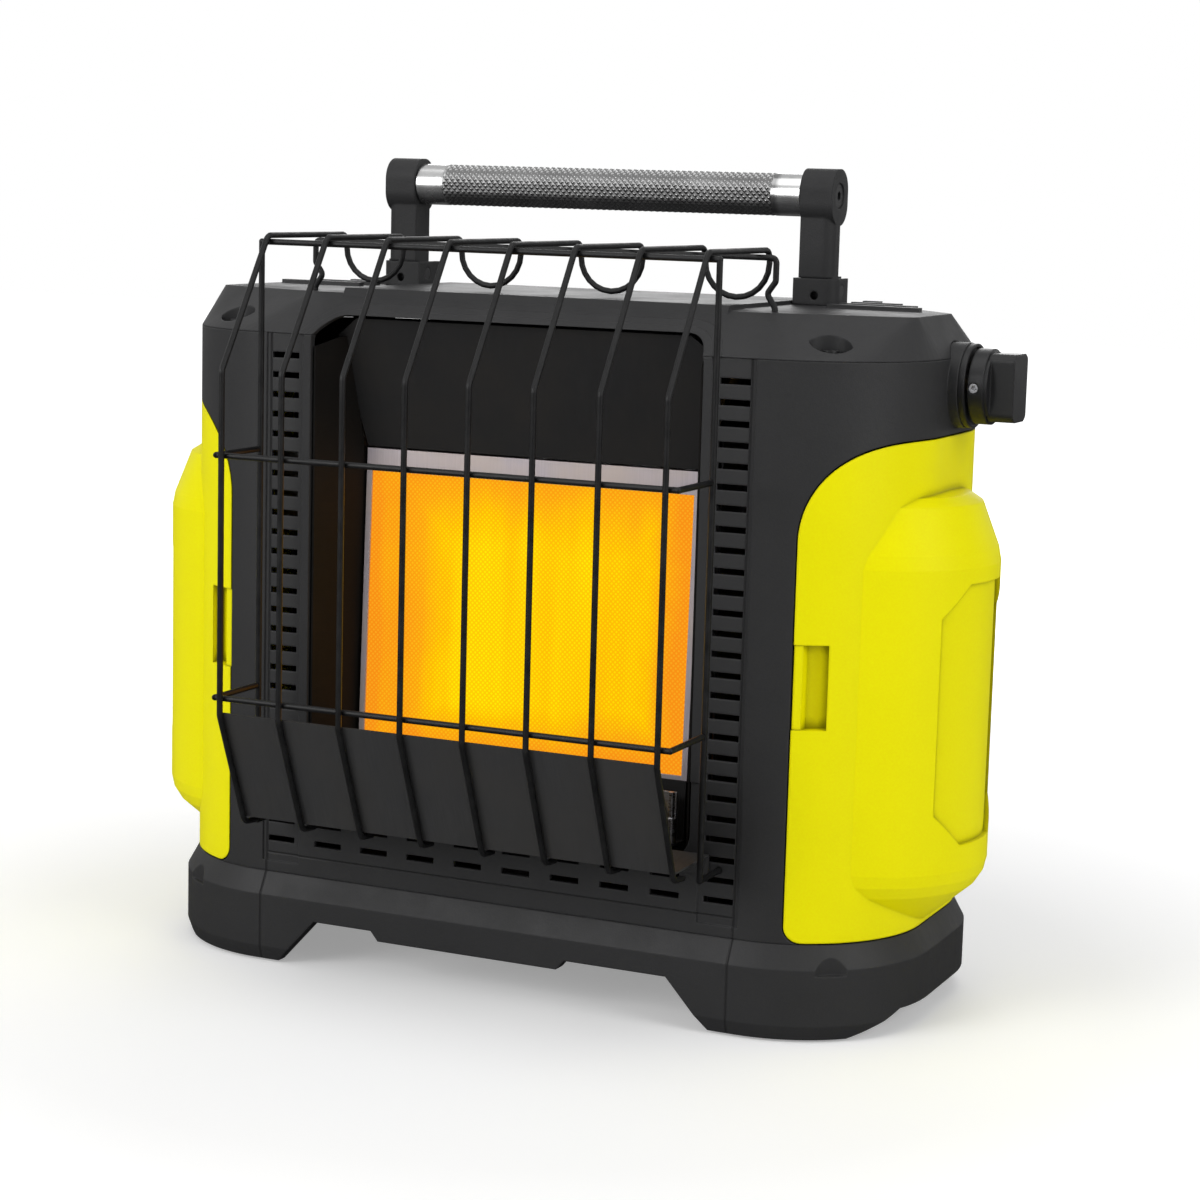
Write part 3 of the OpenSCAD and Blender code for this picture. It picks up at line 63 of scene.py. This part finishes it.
class Surface:
    """One Principled material and short calls that add nodes to it."""

    def __init__(self, name, colour=(0.5, 0.5, 0.5), roughness=0.5, metallic=0.0):
        self.material = bpy.data.materials.new(name)
        self.material.use_nodes = True
        self.tree = self.material.node_tree
        self.shader = self.tree.nodes["Principled BSDF"]
        self.set("Base Color", (*colour, 1.0))
        self.set("Roughness", roughness)
        self.set("Metallic", metallic)
        self.place = self.add("ShaderNodeTexCoord").outputs["Object"]

    def put(self, socket, value):
        if isinstance(value, bpy.types.NodeSocket):
            self.tree.links.new(value, socket)
        else:
            socket.default_value = value

    def set(self, name, value):
        self.put(self.shader.inputs[name], value)

    def add(self, kind, inputs=None, **settings):
        node = self.tree.nodes.new(kind)
        for key, value in settings.items():
            setattr(node, key, value)
        for key, value in (inputs or {}).items():
            self.put(node.inputs[key], value)
        return node

    def math(self, operation, a, b=0.0, c=0.0):
        node = self.add("ShaderNodeMath", {0: a, 1: b, 2: c}, operation=operation)
        return node.outputs[0]

    def stretched(self, scale, turn=(0, 0, 0)):
        """The place on the object, scaled and turned for a noise."""
        node = self.add("ShaderNodeMapping", {"Vector": self.place, "Scale": scale, "Rotation": turn})
        return node.outputs[0]

    def noise(self, scale, detail=2.0, roughness=0.5, vector=None):
        inputs = {"Vector": vector or self.place, "Scale": scale, "Detail": detail, "Roughness": roughness}
        return self.add("ShaderNodeTexNoise", inputs).outputs["Fac"]

    def ramp(self, value, *stops):
        """Colour ramp through (place, colour or grey level) stops."""
        node = self.add("ShaderNodeValToRGB", {"Fac": value})
        elements = node.color_ramp.elements
        while len(elements) < len(stops):
            elements.new(0.5)
        for element, (at, colour) in zip(elements, stops):
            element.position = at
            if isinstance(colour, (int, float)):
                colour = (colour,) * 3
            element.color = (*colour, 1.0)
        return node.outputs["Color"]

    def spread(self, value, low, high, to_low, to_high):
        """Value from one range carried over to another, held at its ends."""
        inputs = {"Value": value, "From Min": low, "From Max": high, "To Min": to_low, "To Max": to_high}
        return self.add("ShaderNodeMapRange", inputs).outputs["Result"]

    def mix(self, share, a, b, blend="MIX"):
        node = self.add("ShaderNodeMix", data_type="RGBA", blend_type=blend)
        self.put(node.inputs["Factor"], share)
        self.put(node.inputs[6], (*a, 1.0) if isinstance(a, tuple) else a)
        self.put(node.inputs[7], (*b, 1.0) if isinstance(b, tuple) else b)
        return node.outputs[2]

    def round_edges(self, radius):
        """Normal that reads as edges rounded off by a radius."""
        return self.add("ShaderNodeBevel", {"Radius": radius}, samples=4).outputs["Normal"]

    def edge_share(self, radius):
        """1 on sharp edges, 0 on flat ground."""
        bevel = self.round_edges(radius)
        flat = self.add("ShaderNodeNewGeometry").outputs["Normal"]
        facing = self.add("ShaderNodeVectorMath", {0: bevel, 1: flat}, operation="DOT_PRODUCT")
        return self.spread(facing.outputs["Value"], 0.98, 0.8, 0.0, 1.0)

    def hollow_shade_share(self, distance):
        """Share of painted shade: 1 deep inside a hollow, 0 on open ground."""
        open_share = self.add("ShaderNodeAmbientOcclusion", {"Distance": distance}, samples=8).outputs["AO"]
        return self.spread(open_share, 0.35, 0.9, 1.0, 0.0)

    def line_share(self, value, at, half_width):
        """1 where a value lies on a line, falling to 0 at half a width from it."""
        away = self.math("ABSOLUTE", self.math("SUBTRACT", value, at))
        return self.spread(away, 0.0, half_width, 1.0, 0.0)

    def bump(self, height, distance, strength=1.0, normal=None):
        inputs = {"Height": height, "Distance": distance, "Strength": strength}
        if normal:
            inputs["Normal"] = normal
        out = self.add("ShaderNodeBump", inputs).outputs["Normal"]
        self.set("Normal", out)
        return out


def shade(colour, factor):
    """The colour made darker or lighter by a factor."""
    return tuple(min(1.0, c * factor) for c in colour)


def moulded(name, colour, roughness, grain=0.00006, edge=0.0012, wear_and_highlight=1.5, clouds=0.06, shine=0.25,
            hollow=0.0, grooves=None):
    """Moulded plastic with a fine spark grain, soft edges and lighter edges: partly wear, partly a painted
    highlight.

    Hollows get painted shade by the share asked for; grooves is a function that
    gives the share of a groove at each place, and these lines get painted shade too.
    """
    s = Surface(name, colour, roughness)
    s.set("Specular IOR Level", shine)
    cloud = s.noise(14.0, 4.0, 0.6)
    fleck = s.noise(900.0, 2.0, 0.6)
    base = s.ramp(cloud, (0.3, shade(colour, 1 - clouds)), (0.7, shade(colour, 1 + clouds)))
    base = s.mix(s.spread(fleck, 0.35, 0.75, 0.0, 0.35), base, shade(colour, 1.25))
    # painted highlight, partly wear: sharp edges are made lighter in patches
    rubbed_and_highlit = s.math("MULTIPLY", s.edge_share(edge), s.spread(s.noise(60.0, 3.0), 0.35, 0.7, 0.25, 0.9))
    base = s.mix(rubbed_and_highlit, base, shade(colour, wear_and_highlight))
    # painted shade: hollows found by ambient occlusion are darkened towards near black
    if hollow:
        base = s.mix(s.math("MULTIPLY", s.hollow_shade_share(0.006), hollow), base, shade(colour, 0.12))
    height = s.math("ADD", s.noise(1500.0, 3.0, 0.6), s.math("MULTIPLY", s.noise(420.0, 2.0), 0.8))
    normal = s.round_edges(edge)
    if grooves:
        groove = grooves(s)
        # painted shade: the soft lines are darkened along their middles
        base = s.mix(s.math("MULTIPLY", groove, 0.5), base, shade(colour, 0.3))
        normal = s.bump(s.math("SUBTRACT", 1.0, groove), 0.0005, 1.0, normal)
    s.set("Base Color", base)
    patchy = s.spread(s.noise(35.0, 3.0, 0.65), 0.3, 0.7, roughness - 0.05, roughness + 0.07)
    s.set("Roughness", patchy)
    s.bump(height, grain, 1.0, normal)
    return s


LEVEL_GRAIN = (1, 1, 30)       # noise drawn out into streaks that lie level
UPRIGHT_GRAIN = (30, 1, 1)     # or that stand upright


def sheet_metal(name, colour, roughness, metallic=1.0, along=LEVEL_GRAIN, scorch=None, edge=0.0004,
                shine=0.5):
    """Rolled sheet with a fine drawn grain, and heat stain where it is asked for."""
    s = Surface(name, colour, roughness, metallic)
    s.set("Specular IOR Level", shine)
    streak = s.noise(60.0, 4.0, 0.7, s.stretched(along))
    stain = s.noise(22.0, 4.0, 0.6)
    base = s.ramp(streak, (0.3, shade(colour, 0.82)), (0.7, shade(colour, 1.12)))
    if scorch:
        base = s.mix(s.spread(stain, 0.38, 0.72, 0.0, 0.8), base, scorch)
    s.set("Base Color", base)
    s.set("Roughness", s.spread(streak, 0.3, 0.7, roughness - 0.06, roughness + 0.1))
    s.bump(streak, 0.00003, 0.6, s.round_edges(edge))
    return s


HOLES_A_METRE = 560.0          # fine burner holes along each diagonal row


def glowing_ceramic(name):
    """Lit perforated ceramic: yellow in the middle, orange towards the edges."""
    s = Surface(name, (0.08, 0.03, 0.0), 0.9)
    s.set("Specular IOR Level", 0.1)
    low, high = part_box("ceramic_plaque")
    hole_turn = (0, math.radians(45), 0)
    parts = s.add("ShaderNodeSeparateXYZ", {0: s.place}).outputs
    across = s.spread(parts["X"], low.x, high.x, 0.0, 1.0)
    up = s.spread(parts["Z"], low.z, high.z, 0.0, 1.0)
    wander = s.math("MULTIPLY", s.math("SUBTRACT", s.noise(26.0, 3.0, 0.6), 0.5), 0.16)
    left = s.spread(s.math("ADD", across, wander), 0.0, 0.3, 1.0, 0.0)
    right = s.spread(s.math("ADD", across, wander), 0.83, 1.0, 0.0, 1.0)
    top = s.spread(s.math("ADD", up, wander), 0.76, 1.02, 0.0, 0.75)
    bottom = s.spread(s.math("ADD", up, wander), 0.0, 0.2, 1.0, 0.0)
    cool = s.math("MAXIMUM", s.math("MAXIMUM", left, right), s.math("MAXIMUM", top, bottom))
    streak = s.spread(s.noise(5.0, 2.0, 0.5, s.stretched((8, 1, 0.6))), 0.4, 0.66, 0.0, 0.3)
    cool = s.math("ADD", s.math("POWER", cool, 1.3), streak)
    glow = s.ramp(cool, (0.0, (1.0, 0.82, 0.0)), (0.25, (0.97, 0.66, 0.0)), (0.6, (0.95, 0.49, 0.006)),
                  (1.0, (0.93, 0.37, 0.012)))
    holes = s.add("ShaderNodeTexVoronoi", {"Vector": s.stretched((1, 0, 1), hole_turn),
                                           "Scale": HOLES_A_METRE, "Randomness": 0.0}).outputs["Distance"]
    rim = s.spread(holes, 0.22, 0.42, 0.0, 1.0)
    glow = s.mix(rim, glow, s.mix(1.0, glow, (0.98, 0.72, 0.5), "MULTIPLY"))
    s.set("Emission Color", glow)
    s.set("Emission Strength", 1.0)
    s.bump(rim, 0.0004, 1.0)
    return s


def baked_wire(name):
    """Steel wire with a slightly uneven baked black coat."""
    s = Surface(name, (0.008, 0.008, 0.0085), 0.38, 0.0)
    s.set("Specular IOR Level", 0.3)
    patch = s.noise(120.0, 3.0, 0.6)
    s.set("Base Color", s.ramp(patch, (0.3, (0.006, 0.006, 0.0065)), (0.7, (0.012, 0.012, 0.0125))))
    s.set("Roughness", s.spread(patch, 0.3, 0.7, 0.3, 0.48))
    s.bump(s.noise(700.0, 3.0, 0.6), 0.00008, 0.8, s.round_edges(0.0012))
    return s


def dress(surface, *names):
    """Give the named CAD nodes one finish on all their slots."""
    for name in names:
        slots = cad[name].data.materials
        for index in range(len(slots)):
            slots[index] = surface.material
        if not len(slots):
            slots.append(surface.material)


# ---- finishes of the CAD nodes ----

MIDDLE_X = -0.00175      # the casing's middle in the shared frame
PANEL_HALF_W = 0.131     # to the soft upright lines beside the front panel
PANEL_FOOT_Z = 0.057     # height of the soft level line along its foot
PANEL_LINE_W = 0.0008    # from a line's middle to where it ends
PANEL_BACK_Y = -0.05     # the lines lie in front of this


def front_panel_lines(s):
    """Share of the soft lines that frame the flat front panel; they get a bump and painted shade."""
    parts = s.add("ShaderNodeSeparateXYZ", {0: s.place}).outputs
    across = s.math("ABSOLUTE", s.math("SUBTRACT", parts["X"], MIDDLE_X))
    upright = s.line_share(across, PANEL_HALF_W, PANEL_LINE_W)
    level = s.line_share(parts["Z"], PANEL_FOOT_Z, PANEL_LINE_W)
    level = s.math("MULTIPLY", level, s.math("LESS_THAN", across, PANEL_HALF_W))
    on_front = s.math("LESS_THAN", parts["Y"], PANEL_BACK_Y)
    return s.math("MULTIPLY", s.math("MAXIMUM", upright, level), on_front)


CASING_BLACK = (0.029, 0.029, 0.030)
HANDLE_BLACK = (0.03, 0.03, 0.031)
KNOB_BLACK = (0.014, 0.014, 0.015)
DOOR_YELLOW = (0.96, 0.88, 0.0)
# the casing's edges go to twice their colour: mostly a painted highlight
black_plastic = moulded("casing_black_plastic", CASING_BLACK, 0.48, wear_and_highlight=2.0, shine=0.28)
dress(black_plastic, "rear_cover", "top_cover")
# the front panel's edges go to twice their colour too: mostly a painted highlight
panel_plastic = moulded("front_black_plastic", CASING_BLACK, 0.48, wear_and_highlight=2.0, shine=0.28,
                        grooves=front_panel_lines)
dress(panel_plastic, "base", "front_cover")
yellow_plastic = moulded("door_yellow_plastic", DOOR_YELLOW, 0.42, grain=0.00003, edge=0.0014,
                         wear_and_highlight=1.05, clouds=0.015, shine=0.1, hollow=0.75)
dress(yellow_plastic, "left_door", "right_door")
handle_plastic = moulded("handle_dark_plastic", HANDLE_BLACK, 0.55, grain=0.0001, edge=0.0016,
                         wear_and_highlight=1.7, clouds=0.1)
dress(handle_plastic, "left_handle_bracket", "right_handle_bracket",
      "left_handle_post", "right_handle_post")
knob_plastic = moulded("knob_black_plastic", KNOB_BLACK, 0.4, grain=0.00004, edge=0.0014, wear_and_highlight=1.6,
                       clouds=0.05, shine=0.35)
dress(knob_plastic, "control_knob", "knob_bezel")
switch_plastic = moulded("switch_plastic", (0.05, 0.05, 0.055), 0.5)
dress(switch_plastic, "piezo_igniter", "tip_over_switch")
dress(moulded("rubber", (0.02, 0.02, 0.02), 0.75, grain=0.0001), "rubber_feet", "socket_seals")
dress(moulded("silicone_sleeve", (0.55, 0.52, 0.46), 0.6), "spark_lead")

hood_paint = sheet_metal("black_stove_paint", (0.018, 0.018, 0.019), 0.6, metallic=0.0, along=UPRIGHT_GRAIN,
                         scorch=(0.024, 0.022, 0.02), shine=0.2)
dress(hood_paint, "reflector_hood", "lower_reflector")
tray_paint = sheet_metal("black_tray_paint", (0.038, 0.038, 0.039), 0.6, metallic=0.0, along=UPRIGHT_GRAIN,
                         scorch=(0.042, 0.04, 0.038), shine=0.2)
dress(tray_paint, "lower_deflector")
browned = sheet_metal("heat_browned_sheet", (0.005, 0.0045, 0.004), 0.6, metallic=0.0, along=LEVEL_GRAIN,
                      scorch=(0.011, 0.008, 0.006), shine=0.15)
dress(browned, "left_reflector", "right_reflector")
strip_steel = sheet_metal("stainless_strip", (0.52, 0.47, 0.52), 0.45, metallic=0.3, along=(40, 1, 1),
                          scorch=(0.6, 0.5, 0.44))
dress(strip_steel, "burner_clamp_frame")
bare_steel = sheet_metal("bare_sheet_steel", (0.44, 0.44, 0.46), 0.4)
dress(bare_steel, "left_regulator_bracket", "right_regulator_bracket", "burner_box", "venturi_tube",
      "pilot_bracket")
# painted shade: the partitions, seen through the vents inside the casing, get a darker colour for the shade
# there
zinc_painted_dark_for_shade = sheet_metal("zinc_sheet_painted_dark_for_shade", (0.14, 0.14, 0.15), 0.6, metallic=0.5)
dress(zinc_painted_dark_for_shade, "left_partition", "right_partition")
pin_steel = sheet_metal("plated_steel", (0.6, 0.6, 0.62), 0.28, along=(1, 1, 8))
dress(pin_steel, "left_hinge_pins", "right_hinge_pins", "knob_screw", "push_collar", "knob_spring",
      "thermocouple")
blackened = sheet_metal("blackened_steel", (0.025, 0.025, 0.026), 0.42, metallic=0.3)
dress(blackened, "housing_screws", "bracket_screws", "handle_pivot_pins", "handle_end_screws")
brass = sheet_metal("machined_brass", (0.66, 0.48, 0.20), 0.3, along=(1, 1, 20))
dress(brass, "gas_orifice", "valve_body", "valve_stem", "pilot_burner", "burner_gas_line", "gas_manifold")
die_cast = sheet_metal("die_cast", (0.46, 0.46, 0.47), 0.5, metallic=0.9)
dress(die_cast, "left_regulator", "right_regulator")
dress(moulded("glazed_ceramic", (0.75, 0.72, 0.66), 0.25), "spark_electrode")
dress(moulded("woven_gasket", (0.62, 0.58, 0.5), 0.9, grain=0.0004), "burner_gasket")
dress(glowing_ceramic("lit_ceramic"), "ceramic_plaque")
dress(baked_wire("baked_wire_coat"), "guard_front_frame", "guard_rear_frame", "guard_upper_hoop",
      "guard_lower_hoop", *(f"guard_bar_pair_{i}" for i in range(1, 5)))


# ---- dressed pieces ----


def piece(name, mesh, surface):
    """New object in the scene from a mesh and a finish."""
    mesh.materials.append(surface.material)
    obj = bpy.data.objects.new(name, mesh)
    bpy.context.scene.collection.objects.link(obj)
    return obj


def tube_mesh(name, verts, rings, around, ends):
    """Mesh skin over rings of points, closed at its ends.

    ends gives each closing ring's number and whether its face is turned over.
    """
    faces = []
    for i in range(rings - 1):
        for k in range(around):
            n = (k + 1) % around
            faces.append((i * around + k, i * around + n, (i + 1) * around + n, (i + 1) * around + k))
    for ring, turned in ends:
        face = range(ring * around, (ring + 1) * around)
        faces.append(tuple(reversed(face) if turned else face))
    mesh = bpy.data.meshes.new(name)
    mesh.from_pydata(verts, [], faces)
    mesh.update()
    return mesh


KNURL_STARTS = 20        # diamond rows round the bar
POINTS_A_START = 8       # mesh points along one diamond
KNURL_DEPTH = 0.0005
SMOOTH_END = 0.016       # turned length at each end of the bar
SEAT_LENGTH = 0.0019     # end of the bar that sits inside a post
SEAT_STEP = 0.0025       # its radius is smaller by this
SEAT_SLANT = 0.0002      # the seat's face leans outward by this
END_CHAMFER = 0.0006
KNURL_RUN_OUT = 0.0003   # from the turned end down to the knurl's ground
RIDGE_SHARPNESS = 1.25   # above 1 leaves a flat ground between the ridges
BRIGHT_FROM_X = 0.094    # the plate starts to turn bright here
BRIGHT_TO_X = 0.0965     # and is fully bright here


def knurled_bar(name):
    """The grip bar: smooth turned ends and a raised diamond knurl between them."""
    low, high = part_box("handle_bar")
    centre = (low + high) / 2
    radius = (high.z - low.z) / 2
    half = (high.x - low.x) / 2
    around = KNURL_STARTS * POINTS_A_START
    pitch = 2 * math.pi * radius / KNURL_STARTS
    step = pitch / POINTS_A_START
    shoulder = half - SEAT_LENGTH
    knurl_x = -shoulder + SMOOTH_END
    stations = [(-half, radius - SEAT_STEP), (-shoulder - SEAT_SLANT, radius - SEAT_STEP),
                (-shoulder, radius - END_CHAMFER), (-shoulder + END_CHAMFER, radius),
                (knurl_x, radius), (knurl_x + KNURL_RUN_OUT, radius - KNURL_DEPTH)]
    count = int((shoulder - SMOOTH_END - END_CHAMFER) * 2 / step)
    start = -(count * step) / 2
    rings = [(x, r, False) for x, r in stations]
    rings += [(start + i * step, radius, True) for i in range(count + 1)]
    rings += [(-x, r, False) for x, r in reversed(stations)]
    verts = []
    for x, r, knurled in rings:
        for k in range(around):
            turn = 2 * math.pi * k / around
            depth = 0.0
            if knurled:
                u = KNURL_STARTS * k / around
                v = (x + half) / pitch
                ridge = [abs(((u + w * v) % 1.0) - 0.5) * 2 for w in (1, -1)]
                depth = KNURL_DEPTH * (1 - min(1.0, RIDGE_SHARPNESS * min(ridge)))
            verts.append((centre.x + x, centre.y + (r - depth) * math.cos(turn),
                          centre.z + (r - depth) * math.sin(turn)))
    return tube_mesh(name, verts, len(rings), around, ends=((0, False), (len(rings) - 1, True)))


def plated_bar(name):
    """Chrome plate, with painted shade over the knurl: its colour is darker there than on the turned ends.
    """
    s = Surface(name, (0.4, 0.4, 0.41), 0.16, 1.0)
    smear = s.noise(40.0, 4.0, 0.65)
    along = s.math("ABSOLUTE", s.add("ShaderNodeSeparateXYZ", {0: s.place}).outputs["X"])
    at_end = s.spread(along, BRIGHT_FROM_X, BRIGHT_TO_X, 0.0, 1.0)
    s.set("Roughness", s.spread(smear, 0.3, 0.7, 0.14, 0.3))
    # painted shade: the knurl's colour is kept darker than that of the turned ends
    s.set("Base Color", s.mix(at_end, s.ramp(smear, (0.25, 0.31), (0.75, 0.41)),
                              s.ramp(smear, (0.25, 0.7), (0.75, 0.8))))
    s.bump(s.noise(900.0, 2.0), 0.00001, 0.5)
    return s


bar = piece("knurled_handle_bar", knurled_bar("knurled_handle_bar"), plated_bar("plated_bar"))
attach(bar, "handle")
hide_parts("handle_bar")


def coil_spring(name, turns=5, wire=0.0005, sides=10, steps_a_turn=32):
    """Coil of round wire that fills the box of the CAD spring, around the knob's axis."""
    low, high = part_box("knob_spring")
    centre = (low + high) / 2
    coil = (high.z - low.z) / 2 - wire
    first, last = low.x + wire, high.x - wire
    steps = turns * steps_a_turn
    verts = []
    for i in range(steps + 1):
        turn = 2 * math.pi * turns * i / steps
        for k in range(sides):
            round_wire = 2 * math.pi * k / sides
            out = coil + wire * math.cos(round_wire)
            verts.append((first + (last - first) * i / steps + wire * math.sin(round_wire),
                          centre.y + out * math.cos(turn), centre.z + out * math.sin(turn)))
    return tube_mesh(name, verts, steps + 1, sides, ends=((0, True), (steps, False)))


spring = piece("knob_return_spring", coil_spring("knob_return_spring"), pin_steel)
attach(spring, "casing")
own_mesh(spring)
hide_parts("knob_spring")


# ---- studio and camera ----


def studio_plane(name, corners, surface):
    """Flat stage piece, which isn't part of the object."""
    mesh = bpy.data.meshes.new(name)
    mesh.from_pydata(corners, [], [(0, 1, 2, 3)])
    obj = piece(name, mesh, surface)
    return obj


WORLD_LEVEL = 0.3        # light that the surround gives the object
GLOSSY_SHARE = 0.35      # share of the white surround that reflections see
FLOOR_IN_GLOSS = 0.12    # grey of the floor in reflections
FLOOR_GLOW = 0.3         # how white the floor is to the camera beside the object
GLOW_FROM, GLOW_TO = 0.3, 1.1    # it goes on to full white between these distances
FLOOR_HALF = 6
FLOOR_Z = -0.0005


def studio_white(name):
    """Pale floor with the shadow kept, white to the camera further out and dim in reflections."""
    s = Surface(name, (0.86, 0.86, 0.86), 1.0)
    s.set("Specular IOR Level", 0.0)
    path = s.add("ShaderNodeLightPath").outputs
    pale = s.ramp(s.noise(3.0, 2.0), (0.3, 0.85), (0.7, 0.87))
    s.set("Base Color", s.mix(path["Is Glossy Ray"], pale, (FLOOR_IN_GLOSS,) * 3))
    away = s.add("ShaderNodeVectorMath", {0: s.place}, operation="LENGTH").outputs["Value"]
    s.set("Emission Color", (1.0, 1.0, 1.0, 1.0))
    glow = s.spread(away, GLOW_FROM, GLOW_TO, FLOOR_GLOW, 1.0)
    s.set("Emission Strength", s.math("MULTIPLY", path["Is Camera Ray"], glow))
    return s


corners = [(x * FLOOR_HALF, y * FLOOR_HALF, FLOOR_Z) for x, y in ((-1, -1), (1, -1), (1, 1), (-1, 1))]
studio_plane("studio_floor", corners, studio_white("studio_floor_paint"))


LIGHT_TARGET = (0, 0, 0.2)


def area_light(name, place, size, power):
    """Softbox that looks at the middle of the object."""
    data = bpy.data.lights.new(name, "AREA")
    data.shape = "RECTANGLE"
    data.size, data.size_y = size
    data.energy = power
    lamp = bpy.data.objects.new(name, data)
    lamp.location = place
    lamp.rotation_euler = (Vector(LIGHT_TARGET) - Vector(place)).to_track_quat("-Z", "Y").to_euler()
    bpy.context.scene.collection.objects.link(lamp)


area_light("top_softbox", (0.1, -0.3, 1.9), (1.8, 1.4), 9.0)
area_light("front_softbox", (-1.1, -1.9, 1.0), (1.2, 1.2), 21.0)
area_light("side_softbox", (1.9, -0.5, 0.9), (1.0, 1.4), 12.5)
area_light("rear_softbox", (-0.7, 2.1, 0.9), (1.4, 1.2), 12.0)


def studio_world(name):
    """White surround to the camera, partly seen in reflections, and a plain fill light."""
    world = bpy.data.worlds.new(name)
    bpy.context.scene.world = world
    world.use_nodes = True
    tree = world.node_tree
    background = tree.nodes["Background"]
    background.inputs["Color"].default_value = (1, 1, 1, 1)
    path = tree.nodes.new("ShaderNodeLightPath")
    looked_at = tree.nodes.new("ShaderNodeMath")
    looked_at.operation = "MAXIMUM"
    tree.links.new(path.outputs["Is Camera Ray"], looked_at.inputs[0])
    tree.links.new(path.outputs["Is Transmission Ray"], looked_at.inputs[1])
    seen = tree.nodes.new("ShaderNodeMath")
    seen.operation = "MULTIPLY_ADD"
    seen.inputs[1].default_value = GLOSSY_SHARE
    tree.links.new(path.outputs["Is Glossy Ray"], seen.inputs[0])
    tree.links.new(looked_at.outputs[0], seen.inputs[2])
    level = tree.nodes.new("ShaderNodeMapRange")
    level.inputs["To Min"].default_value = WORLD_LEVEL
    level.inputs["To Max"].default_value = 1.0
    tree.links.new(seen.outputs[0], level.inputs["Value"])
    tree.links.new(level.outputs["Result"], background.inputs["Strength"])


studio_world("studio_world")


PHOTO_SIDE = 1200                  # pixels along each side of the photograph
FOCAL_PIXELS = 2774.4
SENSOR_WIDTH = 36.0                # mm
CAMERA_PLACE = (0.60568, -1.27239, 0.40941)
CAMERA_TURN, CAMERA_DIP, CAMERA_ROLL = 24.45, 8.67, 1.55    # degrees


def photo_camera():
    """Camera at the photograph's place, found by fitting the casing's straight edges."""
    turn, dip, roll = (math.radians(a) for a in (CAMERA_TURN, CAMERA_DIP, CAMERA_ROLL))
    forward = Vector((-math.sin(turn) * math.cos(dip), math.cos(turn) * math.cos(dip), -math.sin(dip)))
    right = Vector((math.cos(turn), math.sin(turn), 0))
    up = right.cross(forward)
    right, up = (right * math.cos(roll) + up * math.sin(roll), up * math.cos(roll) - right * math.sin(roll))
    data = bpy.data.cameras.new("photo_camera")
    data.sensor_fit = "HORIZONTAL"
    data.sensor_width = SENSOR_WIDTH
    data.lens = SENSOR_WIDTH * FOCAL_PIXELS / PHOTO_SIDE
    camera = bpy.data.objects.new("photo_camera", data)
    axes = Matrix((right, up, -forward)).transposed().to_4x4()
    camera.matrix_world = Matrix.Translation(CAMERA_PLACE) @ axes
    bpy.context.scene.collection.objects.link(camera)
    bpy.context.scene.camera = camera


photo_camera()
bpy.context.scene.view_settings.view_transform = "Standard"
